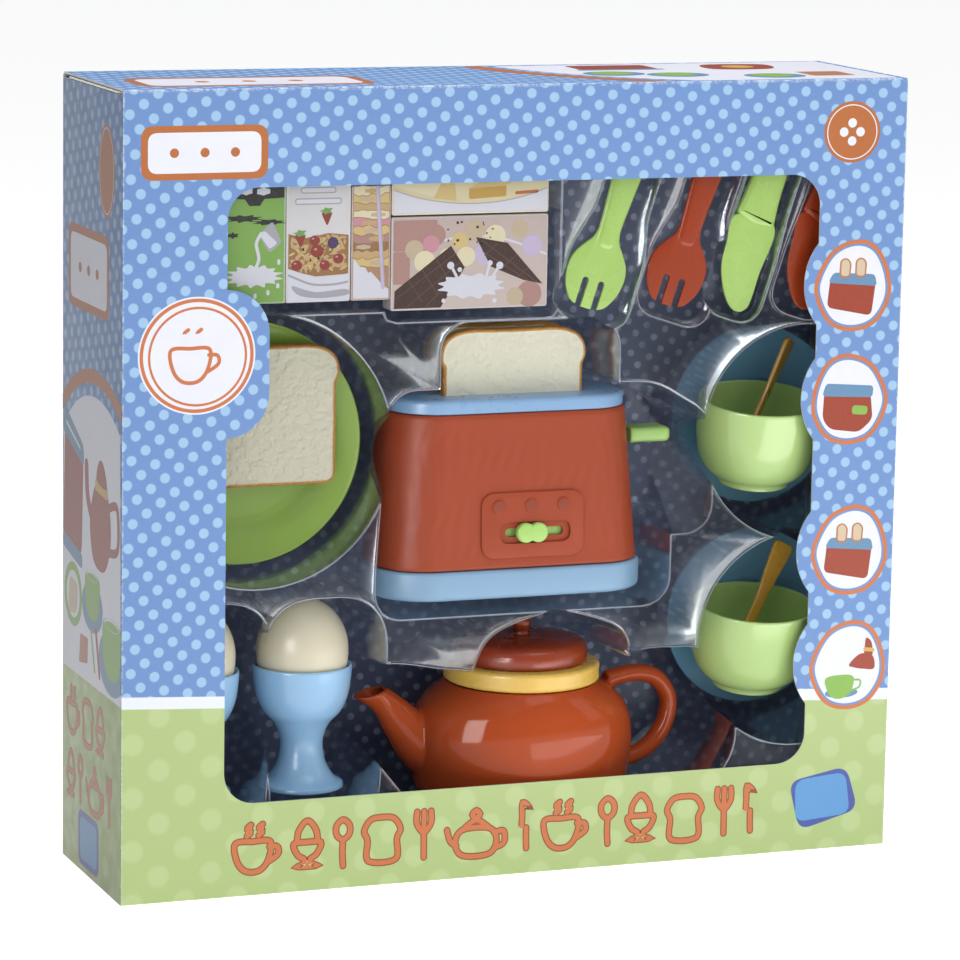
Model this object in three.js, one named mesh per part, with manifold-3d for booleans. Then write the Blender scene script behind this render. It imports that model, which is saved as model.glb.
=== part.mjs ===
// A boxed toy breakfast set: a window carton, a clear tray of pockets, and the toys that lie in them.
// Millimetres, +Z up. X runs along the carton's front, Y from the front to the back.
// The origin is under the middle of the carton, on the surface that it stands on.
import * as THREE from "three";
import { mergeVertices } from "three/addons/utils/BufferGeometryUtils.js";
import Module from "manifold-3d";

const wasm = await Module();
wasm.setup();

// Sizes that many pieces share
const gap = 0.3; // between two pieces that touch
const overrun = 4; // how far a cutting solid passes the face that it cuts
const weld = 0.001; // points nearer than this are one point
const board = 0.8; // thickness of the carton's board

// How finely round forms are cut into facets
const facets = { corner: 2, disc: 20, small: 10, bar: 8, arc: 5, curve: 8, pocket: 26 };

const carton = {
  windowGap: 1.8, // from the front panel to the tray's front sheet
  panelRoom: 0.8, // from the tray's sheet to the deepest toy's front
  backRoom: 8, // from the deepest toy's back to the carton's back
  sideRoom: 0.6, // from a side panel to the tray
  lidSideRoom: 0.8, // the lid is this much narrower than the carton on each side
  lidBackRoom: 0.2, // and this much shorter at the back
  topRoom: 8.6, // from the highest toy to the lid
  tongueDrop: 15, // how far the lid's tongue hangs behind the tray
  tongueRoom: 1.6, // from the back panel to the tongue
  tongueInset: 3, // from the lid's ends to the tongue's
  tongueCorner: 12,
  flapReach: 40, // how far a dust flap covers the mouth
  flapBackRoom: 2.4, // from a dust flap to the tongue
  flapFrontRoom: 3, // from the lid's fold to a dust flap's front corner
  flapCorner: 6,
  flapUnderLid: 0.5, // from a dust flap to the lid above it
};
const flapTaperShare = 0.55; // a flap's front edge slants back by this share of its reach

const windowCut = {
  leftMargin: 48.5,
  rightMargin: 43.5,
  topMargin: 44,
  bottomMargin: 43,
  cornerRadius: 14.5,
  tabReach: 19.8, // the board's round-cornered tab that stands into the left edge
  tabLow: 211,
  tabHigh: 277.6,
  bumpRadius: 30, // the four round bumps that stand into the right edge
  bumpReach: 6.9,
  bumpHeights: [90.6, 144.7, 217.5, 271.6],
};

const card = { thickness: 0.8, topRoom: 0.6, sideRoom: 1.2 };

const tray = {
  wall: 0.6,
  pocketCorner: 2.4,
  skirtCorner: 3,
  backRoom: 0.6, // from the skirt's back edge to the lid's tongue
  floorRadius: 4, // the round edge between a pocket's wall and its floor
  room: 1, // between a toy and its pocket's wall, at the floor
  liftRoom: 0.4, // above the teapot's lid when it is lifted
};
const draftShare = 0.045; // a pocket grows by this share of the height above its floor
const roundPocketDraftShare = 0.075; // the same for the round pockets of the plates and saucers

const toaster = {
  setback: 3.4, // from the tray's sheet to the shell's front
  baseWidth: 132,
  baseDepth: 65,
  baseHeight: 13.5,
  baseFloor: 2,
  baseCorner: 26,
  baseChamfer: 2.5,
  shellSideInset: 2, // from the base's ends to the shell's foot
  shellFrontInset: 1.5,
  shellSideTaper: 6, // how far each end of the shell leans in
  shellFrontTaper: 3,
  shellHeight: 71.8,
  shellCorner: 23,
  shellRound: 2.5,
  wall: 2,
  rimHeight: 6.4,
  rimInset: 0.8,
  rimRound: 2.2,
  rimPlate: 2.4,
  rimSkirt: 1.6,
  slotLength: 78,
  slotWidth: 11,
  slotPitch: 18,
  slotLip: 1.4, // the raised edge round each bread slot
  slotShift: 1.2, // the slots lie to the right of the middle
};

const panel = {
  shift: 5, // to the right of the toaster's middle
  low: 18.6, // above the bottom of the base
  width: 50.6,
  height: 30.7,
  corner: 7,
  proud: 1.2,
  recessShift: 6,
  recessLow: 25.4,
  recessWidth: 35,
  recessHeight: 10,
  recessCorner: 4.9,
  recessDepth: 1.5,
  slotWidth: 28.6,
  slotHeight: 4,
  discRadius: 3.2,
  discProud: 0.6,
  discPitch: 16,
  discShift: 4,
  discHeight: 42.9,
};

const knob = {
  lobeRadius: 4.6,
  lobePitch: 6,
  thickness: 4,
  stemWidth: 5.4,
  stemHeight: 3.4,
  clipWidth: 48, // the strip behind the slot, which closes it from inside
  clipHeight: 6.4,
  clipThickness: 1.2,
  start: 9.5, // where it rests, to the right of the slot's left end
};

const bread = {
  width: 72.3,
  neckWidth: 68.8,
  height: 64.5,
  shoulderHeight: 52,
  neckHeight: 47,
  crownDip: 0.3,
  footRadius: 6,
  thickness: 8,
  edge: 1.2,
  rise: 30.5, // how far a slice stands out of the toaster
};

const lifter = {
  travel: 28,
  shelfWidth: 82,
  shelfThickness: 2,
  uprightWidth: 3,
  armHeight: 3.4,
  armDepth: 3.6,
  armReach: 9, // how far the arm goes into the lever
  slotWidth: 4.8,
  slotRoom: 1, // in the lever's slot above and below the arm
  sideRoom: 1.2,
};

const lever = { length: 22.8, height: 8, depth: 16, corner: 3.2, middleHeight: 69.1, wallRoom: 0.6 };

const spring = { wire: 1, radius: 3.6, turns: 7, postRadius: 2.4, postHeight: 12, endRoom: 0.3 };

const teapot = {
  halfWidth: 54,
  depth: 86,
  height: 70,
  wall: 2,
  floor: 2.6,
  mouthRadius: 35,
  collarRadius: 37,
  collarHeight: 9,
  collarRound: 1.6,
  collarBore: 26,
  lidRadius: 31,
  lidHeight: 12,
  lidStep: 6.4,
  flangeRadius: 25.4,
  flangeDepth: 4,
  flangeWall: 1.6,
  knobRadius: 4.3,
  knobHeight: 8,
  knobNeck: 3.4,
  lift: 3, // the lid lifts until the knob meets the pocket's roof
  handleRadius: 4.2,
  handleDepth: 5,
  spoutWall: 1.8,
};
// Shares of the body's height, and of the way from the mouth's radius out to the belly
const bellyShares = [
  [0, -0.25],
  [0.03, 0.02],
  [0.14, 0.5],
  [0.3, 0.85],
  [0.5, 1],
  [0.68, 1],
  [0.83, 0.82],
  [0.93, 0.46],
  [1, 0.06],
];
// The spout's rings: shares of half the body's width to the left and of its height, of the same
// width for the ring's radius, and the way that the ring faces, in degrees up from the left
const spoutShares = [
  { out: 0.62, up: 0.42, radius: 0.25, turn: 35 },
  { out: 0.9, up: 0.57, radius: 0.23, turn: 45 },
  { out: 1.11, up: 0.757, radius: 0.178, turn: 55 },
  { out: 1.26, up: 0.893, radius: 0.13, turn: 60 },
  { out: 1.407, up: 0.971, radius: 0.152, turn: 75 },
];
// The handle's middle line: shares of half the body's width to the right and of its height
const handleShares = [
  [0.8, 0.95],
  [1.06, 0.985],
  [1.27, 0.945],
  [1.4, 0.8],
  [1.37, 0.62],
  [1.22, 0.47],
  [1.02, 0.4],
  [0.82, 0.39],
];

const eggCup = {
  setback: 34.4,
  rimRadius: 23.1,
  rimRound: 0.7,
  height: 58.2,
  footRadius: 19.5,
  footHeight: 2,
  footRecess: 1.2,
  neckRadius: 10,
  neckHeight: 23.5,
  floor: 2.5,
};
const egg = {
  radius: 21.85,
  heightAbove: 23.9, // above the widest place
  heightBelow: 32,
  middleAboveRim: 6.8,
};

const plate = {
  setback: 26.4,
  radius: 56,
  depth: 7,
  thickness: 2,
  wellRadius: 37,
  nestGap: 0.4,
};
const sliceOnPlateShift = 7.2; // the slice lies to the right of the plate's middle
const sliceOnPlateRise = 13.2; // and above it

const cup = {
  shift: 9.4, // to the left of the saucer's middle
  foot: 28.8, // below the saucer's middle
  rimRadius: 29.5,
  height: 41.5,
  wall: 1.8,
  footRadius: 17,
  footHeight: 2.6,
  footRecess: 1,
  lean: 9, // degrees forward
  handleReach: 14,
  handleTop: 34,
  handleLow: 13,
  handleRadius: 2.6,
  handleDepth: 3.6,
};
// Shares of the rim's radius and of the height above the foot
const cupShares = [
  [0.6, 0],
  [0.79, 0.1],
  [0.92, 0.27],
  [0.985, 0.5],
  [1, 0.75],
  [1, 1],
];
const saucer = { setback: 56.6, radius: 42.8, depth: 5, thickness: 1.8, wellRadius: 18, sideRoom: 2.5 };

const spoon = {
  length: 70,
  bowlLength: 24,
  bowlWidth: 15,
  bowlDepth: 4.4,
  wall: 1.4,
  neckWidth: 5,
  endWidth: 10,
  thickness: 2.2,
  lean: 26, // degrees from upright, to the right
  tip: 12, // degrees from upright, to the back
  heel: 5.34, // the bowl's middle above the inside of the cup's floor
};

const cutlery = {
  setback: 5.4,
  length: 100,
  tilt: 18, // degrees, the upper end to the right
  thickness: 2.4,
  handleThickness: 3.6,
  endWidth: 18,
  neckWidth: 10.5,
  headWidth: 29.5,
  headLength: 26,
  headCorner: 6,
  shoulder: 10,
  tineGap: 3.2,
  tineLength: 14,
  bladeWidth: 21,
  bladeLength: 43,
  bladeTip: 5, // the blunt corner of the blade
  bladeRise: 21, // the other side rises this far to the cutting edge
  knifeDrop: 2.3, // the knives lie this much lower than the forks
  knifeHandleWidth: 17.5,
  handleCorner: 8.4,
  edge: 0.5,
};
// A fork's head from its tip to its neck: shares of half its width and of its length
const forkHeadShares = [
  [0.5, 0],
  [0.86, 0.2],
  [1, 0.5],
  [0.97, 0.78],
  [0.7, 1.12],
];
// The tips' distances to the right of the food boxes, from the left
const tipOffsets = { forkGreen: 20.1, forkRed: 60.4, knifeGreen: 90.8, knifeRed: 124.3 };

const food = {
  setback: 4.4,
  corner: 1,
  sideGap: 0.4,
  milkWidth: 28,
  milkDepth: 27,
  milkHeight: 58,
  gableHeight: 12,
  finHeight: 5,
  finThickness: 1.6,
  cerealWidth: 30.4,
  cerealDepth: 14,
  cerealHeight: 66,
  cookieWidth: 18.6,
  cookieDepth: 18,
  cookieHeight: 52,
  butterWidth: 75.8,
  butterDepth: 20,
  butterHeight: 27,
  chocolateWidth: 75.8,
  chocolateDepth: 11,
  chocolateHeight: 42.5,
  stackGap: 0.8,
};

// Widths of tray left between neighbours
const web = {
  underTeapot: 9.5,
  underEggCups: 37.5,
  underCups: 57.8,
  teapotToToaster: 15.1,
  toastToFood: 12.2,
  eggToPlates: 17.6,
  platesToFood: 9.5,
  cupsToCups: 13,
  cupsToForks: 18.3,
  leftOfPlates: 7.8,
  leftOfEggCups: 17.9,
  betweenEggCups: 8.3,
  eggCupToSpout: 5.2,
  platesToToaster: 13.7,
  leverToSaucers: 10,
  handleToCup: 3, // at least this much
  rightOfKnives: 8, // at least this much
  leftOfFood: 47.6,
};

// Where the pieces stand, worked out from the sizes above
const tilt = THREE.MathUtils.degToRad(cutlery.tilt);
const shellFoot = {
  width: toaster.baseWidth - 2 * toaster.shellSideInset,
  depth: toaster.baseDepth - 2 * toaster.shellFrontInset,
};
const shellTop = {
  width: shellFoot.width - 2 * toaster.shellSideTaper,
  depth: shellFoot.depth - 2 * toaster.shellFrontTaper,
};
const trayBottom = 2 * board + 2 * gap;
const teapotBottom = trayBottom + web.underTeapot + gap;
const collarTop = teapotBottom + teapot.height + gap + teapot.collarHeight;
const lidTop = collarTop + gap + teapot.lidHeight + teapot.knobHeight;
const toasterBottom = lidTop + teapot.lift + web.teapotToToaster;
const shellBottom = toasterBottom + toaster.baseHeight + gap;
const rimBottom = shellBottom + toaster.shellHeight + gap;
const rimTop = rimBottom + toaster.rimHeight;
const toastTop = rimTop + bread.rise;
const toastBottom = toastTop - bread.height;
const eggCupBottom = trayBottom + web.underEggCups + gap;
const eggMiddle = eggCupBottom + eggCup.height + egg.middleAboveRim;
const plateMiddle = eggMiddle + egg.heightAbove + web.eggToPlates + plate.radius + tray.room;
const lowerSaucerMiddle = trayBottom + web.underCups + saucer.radius;
const upperSaucerMiddle = lowerSaucerMiddle + 2 * saucer.radius + web.cupsToCups;
const foodBottom = plateMiddle + plate.radius + web.platesToFood + tray.room;
const chocolateBottom = toastTop + web.toastToFood;
const butterBottom = chocolateBottom + food.chocolateHeight + food.stackGap;
const cutleryBottom = upperSaucerMiddle + saucer.radius + web.cupsToForks;
const cutleryRise = cutlery.length * Math.cos(tilt);
const milkTop = foodBottom + food.milkHeight + food.gableHeight + food.finHeight;
const highestToy = Math.max(cutleryBottom + cutleryRise, butterBottom + food.butterHeight, milkTop);

const lidBottom = highestToy + carton.topRoom;
const height = lidBottom + board;
const depth = teapot.depth + board + carton.windowGap + tray.wall + carton.panelRoom + carton.backRoom;
const leverLow = lever.middleHeight - lifter.travel - lever.height / 2;
const leverLowShare = (leverLow - toaster.baseHeight) / toaster.shellHeight;
const shellAtLever = THREE.MathUtils.lerp(shellFoot.width, shellTop.width, leverLowShare);
const leverStart = shellAtLever / 2 + lever.wallRoom;
const leverReach = leverStart + lever.length + tray.room;
const spoutTip = spoutShares[spoutShares.length - 1];
const spoutReach = (spoutTip.out + spoutTip.radius) * teapot.halfWidth;
const handleReach = Math.max(...handleShares.map(([out]) => out)) * teapot.halfWidth + teapot.handleRadius;
const knifeReach = cutlery.length * Math.sin(tilt) + (cutlery.knifeHandleWidth / 2) * Math.cos(tilt);

// Places across the tray, from the inside of its left wall
const fromLeft = { plates: web.leftOfPlates + plate.radius };
fromLeft.toaster = fromLeft.plates + plate.radius + web.platesToToaster + shellTop.width / 2;
fromLeft.eggCupLeft = web.leftOfEggCups + eggCup.rimRadius;
fromLeft.eggCupRight = fromLeft.eggCupLeft + 2 * eggCup.rimRadius + web.betweenEggCups;
fromLeft.teapot = fromLeft.eggCupRight + eggCup.rimRadius + web.eggCupToSpout + spoutReach;
fromLeft.saucers = Math.max(
  fromLeft.toaster + leverReach + web.leverToSaucers + saucer.radius,
  fromLeft.teapot + handleReach + web.handleToCup + cup.rimRadius + cup.shift,
);
fromLeft.cereal = web.leftOfFood + food.milkWidth + food.sideGap;
fromLeft.cookies = fromLeft.cereal + food.cerealWidth + food.sideGap;
fromLeft.chocolate = fromLeft.cookies + food.cookieWidth + food.sideGap;
fromLeft.foodEnd = fromLeft.chocolate + Math.max(food.chocolateWidth, food.butterWidth);
fromLeft.end = Math.max(
  fromLeft.saucers + saucer.radius + saucer.sideRoom,
  fromLeft.foodEnd + tipOffsets.knifeRed + knifeReach + web.rightOfKnives,
);
const width = fromLeft.end + 2 * tray.wall + 2 * carton.sideRoom + 2 * board;

const left = -width / 2;
const front = -depth / 2;
const back = depth / 2;
const trayLeft = left + board + carton.sideRoom;
const sheetFront = front + board + carton.windowGap;
const tongueBack = back - board - carton.tongueRoom;
const skirtBack = tongueBack - board - tray.backRoom;
const trayTop = lidBottom - carton.flapUnderLid - board - 4 * gap;

const insideLeft = trayLeft + tray.wall;
const plateX = insideLeft + fromLeft.plates;
const toasterX = insideLeft + fromLeft.toaster;
const saucerX = insideLeft + fromLeft.saucers;
const eggCupLeftX = insideLeft + fromLeft.eggCupLeft;
const eggCupRightX = insideLeft + fromLeft.eggCupRight;
const teapotX = insideLeft + fromLeft.teapot;
const foodLeft = insideLeft + web.leftOfFood;
const cerealLeft = insideLeft + fromLeft.cereal;
const cookieLeft = insideLeft + fromLeft.cookies;
const chocolateLeft = insideLeft + fromLeft.chocolate;
const foodRight = insideLeft + fromLeft.foodEnd;

const teapotY = sheetFront + tray.wall + carton.panelRoom + teapot.depth / 2;
const toasterY = sheetFront + toaster.setback + shellFoot.depth / 2;
const plateY = sheetFront + plate.setback;
const eggCupY = sheetFront + eggCup.setback;
const saucerY = sheetFront + saucer.setback;
const cupLean = THREE.MathUtils.degToRad(cup.lean);
const cupWall = cup.height - cup.footHeight;
const cupOutline = cupShares.map(([r, z]) => [r * cup.rimRadius, cup.footHeight + z * cupWall]);
const cupBackReach = Math.max(...cupOutline.map(([r, z]) => r * Math.cos(cupLean) - z * Math.sin(cupLean)));
const cupY = saucerY + saucer.depth - gap - cupBackReach;
const foodY = sheetFront + food.setback;
const cutleryY = sheetFront + cutlery.setback;

// Solids and geometries

// A closed geometry as a solid that can be joined and cut. One that faces inwards is turned out.
function solidOf(geometry) {
  const bare = new THREE.BufferGeometry();
  bare.setAttribute("position", geometry.getAttribute("position"));
  bare.setIndex(geometry.getIndex());
  const merged = mergeVertices(bare, weld);
  const points = merged.getAttribute("position");
  const index = merged.getIndex().array;
  const triangles = [];
  let volume = 0;
  const [a, b, c] = [new THREE.Vector3(), new THREE.Vector3(), new THREE.Vector3()];
  for (let i = 0; i < index.length; i += 3) {
    const [p, q, r] = [index[i], index[i + 1], index[i + 2]];
    if (p === q || q === r || r === p) continue;
    triangles.push([p, q, r]);
    a.fromBufferAttribute(points, p);
    b.fromBufferAttribute(points, q);
    c.fromBufferAttribute(points, r);
    volume += a.dot(b.cross(c));
  }
  const outward = volume < 0 ? triangles.map(([p, q, r]) => [p, r, q]) : triangles;
  const mesh = new wasm.Mesh({
    numProp: 3,
    vertProperties: new Float32Array(points.array),
    triVerts: new Uint32Array(outward.flat()),
  });
  return new wasm.Manifold(mesh);
}

function geometryOf(solid) {
  const mesh = solid.getMesh();
  const geometry = new THREE.BufferGeometry();
  geometry.setAttribute("position", new THREE.BufferAttribute(new Float32Array(mesh.vertProperties), 3));
  geometry.setIndex(new THREE.BufferAttribute(new Uint32Array(mesh.triVerts), 1));
  geometry.computeVertexNormals();
  return geometry;
}

function joined(...geometries) {
  return geometries.map(solidOf).reduce((whole, next) => whole.add(next));
}

function cutFrom(solid, ...geometries) {
  return geometries.map(solidOf).reduce((rest, next) => rest.subtract(next), solid);
}

function moved(geometry, x, y, z) {
  return geometry.clone().translate(x, y, z);
}

// A box between two corners
function block(low, high) {
  const size = high.map((value, axis) => value - low[axis]);
  const middle = high.map((value, axis) => (value + low[axis]) / 2);
  return new THREE.BoxGeometry(...size).translate(...middle);
}

// A profile of [radius, height] points turned about the Z axis
function turned(profile, steps = facets.disc) {
  const points = profile.map(([radius, z]) => new THREE.Vector2(radius, z));
  return new THREE.LatheGeometry(points, steps).rotateX(Math.PI / 2);
}

// An outline drawn in X and Z, with its front face at yFront and its back at yBack
function slab(shape, yFront, yBack, edge = 0) {
  const straight = yBack - yFront - 2 * edge;
  const bevel = { bevelEnabled: edge > 0, bevelSize: edge, bevelThickness: edge, bevelOffset: -edge };
  const options = { depth: straight, steps: 1, curveSegments: facets.arc, bevelSegments: 1, ...bevel };
  return new THREE.ExtrudeGeometry(shape, options).rotateX(Math.PI / 2).translate(0, yBack - edge, 0);
}

// Points round a polygon whose corners are rounded, turning to the left
function roundedPolygon(corners, radius, steps = facets.corner) {
  const points = [];
  corners.forEach(([x, y], i) => {
    const corner = new THREE.Vector2(x, y);
    const before = new THREE.Vector2(...corners[(i + corners.length - 1) % corners.length]);
    const after = new THREE.Vector2(...corners[(i + 1) % corners.length]);
    const reach = Math.min(radius, corner.distanceTo(before) / 2, corner.distanceTo(after) / 2);
    const start = corner.clone().add(before.sub(corner).setLength(reach));
    const end = corner.clone().add(after.sub(corner).setLength(reach));
    const bend = new THREE.QuadraticBezierCurve(start, corner, end);
    points.push(...bend.getPoints(steps));
  });
  return points.filter((point, i) => point.distanceTo(points[(i + 1) % points.length]) > weld);
}

function rectangleCorners(x0, z0, x1, z1) {
  return [
    [x0, z0],
    [x1, z0],
    [x1, z1],
    [x0, z1],
  ];
}

function circlePoints(x, z, radius, count) {
  return Array.from({ length: count }, (_, i) => {
    const angle = (2 * Math.PI * i) / count;
    return new THREE.Vector2(x + radius * Math.cos(angle), z + radius * Math.sin(angle));
  });
}

const sharpestShare = 0.5; // how far a sharp corner's point may run out as the outline grows

// The same outline grown outwards by a distance, or drawn in where it is negative
function grown(points, distance) {
  return points.map((point, i) => {
    const before = points[(i + points.length - 1) % points.length];
    const after = points[(i + 1) % points.length];
    const into = point.clone().sub(before).normalize();
    const out = after.clone().sub(point).normalize();
    const normal = new THREE.Vector2(into.y + out.y, -into.x - out.x).normalize();
    const stretch = Math.max(normal.x * into.y - normal.y * into.x, sharpestShare);
    return point.clone().addScaledVector(normal, distance / stretch);
  });
}

// Triangles that close a ring, turning the same way as its points
function ringFace(outline) {
  const sense = Math.sign(THREE.ShapeUtils.area(outline));
  return THREE.ShapeUtils.triangulateShape([...outline], []).map(([a, b, c]) => {
    const turn = Math.sign(THREE.ShapeUtils.area([outline[a], outline[b], outline[c]]));
    return turn === sense ? [a, b, c] : [a, c, b];
  });
}

// A closed surface through rings of points that all have the same count
function loft(rings, flatten) {
  const count = rings[0].length;
  const triangles = [];
  for (let ring = 0; ring < rings.length - 1; ring++) {
    for (let i = 0; i < count; i++) {
      const a = ring * count + i;
      const b = ring * count + ((i + 1) % count);
      triangles.push(a, b, b + count, a, b + count, a + count);
    }
  }
  const last = (rings.length - 1) * count;
  ringFace(rings[0].map(flatten)).forEach(([a, b, c]) => triangles.push(a, c, b));
  const end = ringFace(rings[rings.length - 1].map(flatten));
  end.forEach((face) => triangles.push(...face.map((i) => last + i)));
  const geometry = new THREE.BufferGeometry().setFromPoints(rings.flat());
  geometry.setIndex(triangles);
  return geometry;
}

// Rings given as outlines in X and Y at heights
function stacked(levels) {
  const ring = ({ outline, z }) => outline.map((point) => new THREE.Vector3(point.x, point.y, z));
  return loft(levels.map(ring), (point) => new THREE.Vector2(point.x, point.y));
}

// A rounded rectangle about the middle
function plan(planWidth, planDepth, radius) {
  const corners = rectangleCorners(-planWidth / 2, -planDepth / 2, planWidth / 2, planDepth / 2);
  return roundedPolygon(corners, radius, facets.corner + 2);
}

// A bent bar in the XZ plane: middles are { x, z, radius, turn }, where turn is the way it runs
function bentBar(middles, acrossShare, sides = facets.bar) {
  const rings = middles.map(({ x, z, radius, turn }) =>
    Array.from({ length: sides }, (_, i) => {
      const angle = (2 * Math.PI * i) / sides;
      const across = radius * Math.cos(angle);
      const side = acrossShare * radius * Math.sin(angle);
      return new THREE.Vector3(x - Math.sin(turn) * across, side, z + Math.cos(turn) * across);
    }),
  );
  const along = (ring) => {
    const [a, b] = [ring[0].clone().sub(ring[sides / 2]).normalize(), new THREE.Vector3(0, 1, 0)];
    return (point) => new THREE.Vector2(point.dot(a), point.dot(b));
  };
  return loft(rings, along(rings[0]));
}

// The same for a smooth curve through a few points and one thickness
function bentRod(points, radius, acrossShare, steps) {
  const curve = new THREE.SplineCurve(points.map(([x, z]) => new THREE.Vector2(x, z)));
  const middles = Array.from({ length: steps + 1 }, (_, i) => {
    const [point, way] = [curve.getPoint(i / steps), curve.getTangent(i / steps)];
    return { x: point.x, z: point.y, radius, turn: Math.atan2(way.y, way.x) };
  });
  return bentBar(middles, acrossShare);
}

// Materials
function moulded(color, roughness = 0.45) {
  return new THREE.MeshStandardMaterial({ color, roughness, metalness: 0 });
}

const finish = {
  printedBoard: () => moulded(0x6991d2, 0.6),
  plainBoard: () => moulded(0xd8d8d6, 0.75),
  navyCard: () => moulded(0x323c55, 0.7),
  clearSheet: () => Object.assign(moulded(0xdfe8ee, 0.12), { transparent: true, opacity: 0.25 }),
  red: () => moulded(0xb05037, 0.5),
  blue: () => moulded(0x96b9d7, 0.45),
  green: () => moulded(0xa5cd6e, 0.4),
  spring: () => new THREE.MeshStandardMaterial({ color: 0xb8bcc0, roughness: 0.3, metalness: 1 }),
  crust: () => moulded(0xc8965a, 0.8),
  plate: () => moulded(0x8caf46, 0.4),
  glaze: () => moulded(0xa54826, 0.2),
  collar: () => moulded(0xe1b955, 0.35),
  lid: () => moulded(0x963719, 0.3),
  cup: () => moulded(0xaad278, 0.3),
  saucer: () => moulded(0x6496b4, 0.4),
  spoon: () => moulded(0xc89632, 0.4),
  eggCup: () => moulded(0x8cb4d7, 0.35),
  egg: () => moulded(0xd7cdb4, 0.5),
  redCutlery: () => moulded(0xbe4628, 0.35),
};

const set = new THREE.Group();

function addPiece(name, solid, material, parent = set) {
  const geometry = solid.isBufferGeometry ? geometryOf(solidOf(solid)) : geometryOf(solid);
  const mesh = new THREE.Mesh(geometry, material);
  mesh.name = name;
  parent.add(mesh);
  return mesh;
}

// The carton
const foldRadius = board / 2;
const lidAxis = { y: front + foldRadius, z: height - foldRadius };
const wallTop = lidBottom - gap;
const flapTop = lidBottom - carton.flapUnderLid;
const flapAxisX = width / 2 - foldRadius;
const flapFront = lidAxis.y + carton.flapFrontRoom;
const flapBack = tongueBack - board - carton.flapBackRoom;

function windowShape() {
  const [x0, x1] = [left + windowCut.leftMargin, -left - windowCut.rightMargin];
  const [z0, z1] = [windowCut.bottomMargin, height - windowCut.topMargin];
  const radius = windowCut.cornerRadius;
  const shape = new THREE.Shape();
  shape.moveTo(x0 + radius, z0);
  shape.lineTo(x1 - radius, z0);
  shape.absarc(x1 - radius, z0 + radius, radius, -Math.PI / 2, 0, false);
  const bumpX = x1 - windowCut.bumpReach + windowCut.bumpRadius;
  const swing = Math.acos((bumpX - x1) / windowCut.bumpRadius);
  for (const z of windowCut.bumpHeights) {
    shape.absarc(bumpX, z, windowCut.bumpRadius, Math.PI + swing, Math.PI - swing, true);
  }
  shape.absarc(x1 - radius, z1 - radius, radius, 0, Math.PI / 2, false);
  shape.absarc(x0 + radius, z1 - radius, radius, Math.PI / 2, Math.PI, false);
  const tab = windowCut.tabReach;
  shape.absarc(x0, windowCut.tabHigh - tab, tab, Math.PI / 2, 0, true);
  shape.absarc(x0, windowCut.tabLow + tab, tab, 0, -Math.PI / 2, true);
  shape.absarc(x0 + radius, z0 + radius, radius, Math.PI, (3 * Math.PI) / 2, false);
  return shape;
}

function cartonSleeve() {
  const outside = block([left, front, 0], [-left, back, wallTop]);
  const innerBack = [-left - board, back - board, wallTop + overrun];
  const inside = block([left + board, front + board, -overrun], innerBack);
  const overFlaps = flapTop - board - gap;
  const sideTops = block([left - overrun, front + board, overFlaps], [-left + overrun, back - board, height]);
  const opening = slab(windowShape(), front - overrun, front + board + overrun);
  return cutFrom(solidOf(outside), inside, sideTops, opening);
}

// A panel whose far edge is rounded about its fold, drawn across the fold
function foldedEdge(reach) {
  const shape = new THREE.Shape();
  shape.moveTo(0, -foldRadius);
  shape.lineTo(reach, -foldRadius);
  shape.lineTo(reach, foldRadius);
  shape.lineTo(0, foldRadius);
  shape.absarc(0, 0, foldRadius, Math.PI / 2, (3 * Math.PI) / 2, false);
  return shape;
}

function cartonLid() {
  const half = width / 2 - carton.lidSideRoom;
  const reach = back - carton.lidBackRoom - lidAxis.y;
  const edge = new THREE.ExtrudeGeometry(foldedEdge(reach), {
    depth: 2 * half,
    bevelEnabled: false,
    curveSegments: facets.bar,
  });
  const top = edge.rotateY(Math.PI / 2).rotateX(Math.PI / 2).translate(-half, lidAxis.y, lidAxis.z);
  const tongueHalf = half - carton.tongueInset;
  const tongueLow = lidBottom - carton.tongueDrop;
  const corners = rectangleCorners(-tongueHalf, tongueLow, tongueHalf, height - foldRadius);
  const tongue = new THREE.Shape(roundedPolygon(corners, carton.tongueCorner));
  return joined(top, slab(tongue, tongueBack - board, tongueBack));
}

function dustFlap() {
  const reach = carton.flapReach;
  const outline = roundedPolygon(
    [
      [0, flapFront],
      [reach, flapFront + reach * flapTaperShare],
      [reach, flapBack],
      [0, flapBack],
    ],
    carton.flapCorner,
  );
  const flat = stacked([
    { outline, z: -foldRadius },
    { outline, z: foldRadius },
  ]);
  const fold = new THREE.ExtrudeGeometry(foldedEdge(carton.flapCorner * 2), {
    depth: flapBack - flapFront - 2 * carton.flapCorner,
    bevelEnabled: false,
    curveSegments: facets.bar,
  });
  return joined(flat, fold.rotateX(Math.PI / 2).translate(0, flapBack - carton.flapCorner, 0));
}

function addCarton() {
  addPiece("carton_sleeve", cartonSleeve(), finish.printedBoard());
  addPiece("carton_lid", cartonLid(), finish.printedBoard());
  const flapZ = flapTop - foldRadius;
  const leftFlap = dustFlap().translate([-flapAxisX, 0, flapZ]);
  addPiece("carton_dust_flap_left", leftFlap, finish.plainBoard());
  const rightFlap = dustFlap().mirror([1, 0, 0]).translate([flapAxisX, 0, flapZ]);
  addPiece("carton_dust_flap_right", rightFlap, finish.plainBoard());

  const inside = { x: width / 2 - board - gap, y: depth / 2 - board - gap };
  const bottom = block([-inside.x, -inside.y, 0], [inside.x, inside.y, board]);
  addPiece("carton_bottom_lid", bottom, finish.printedBoard());
  for (const [side, name] of [
    [-1, "left"],
    [1, "right"],
  ]) {
    const ends = [side * inside.x, side * (inside.x - carton.flapReach)].sort((a, b) => a - b);
    const z = board + gap;
    const flap = block([ends[0], -inside.y, z], [ends[1], inside.y, z + board]);
    addPiece("carton_bottom_dust_flap_" + name, flap, finish.plainBoard());
  }
}

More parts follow.
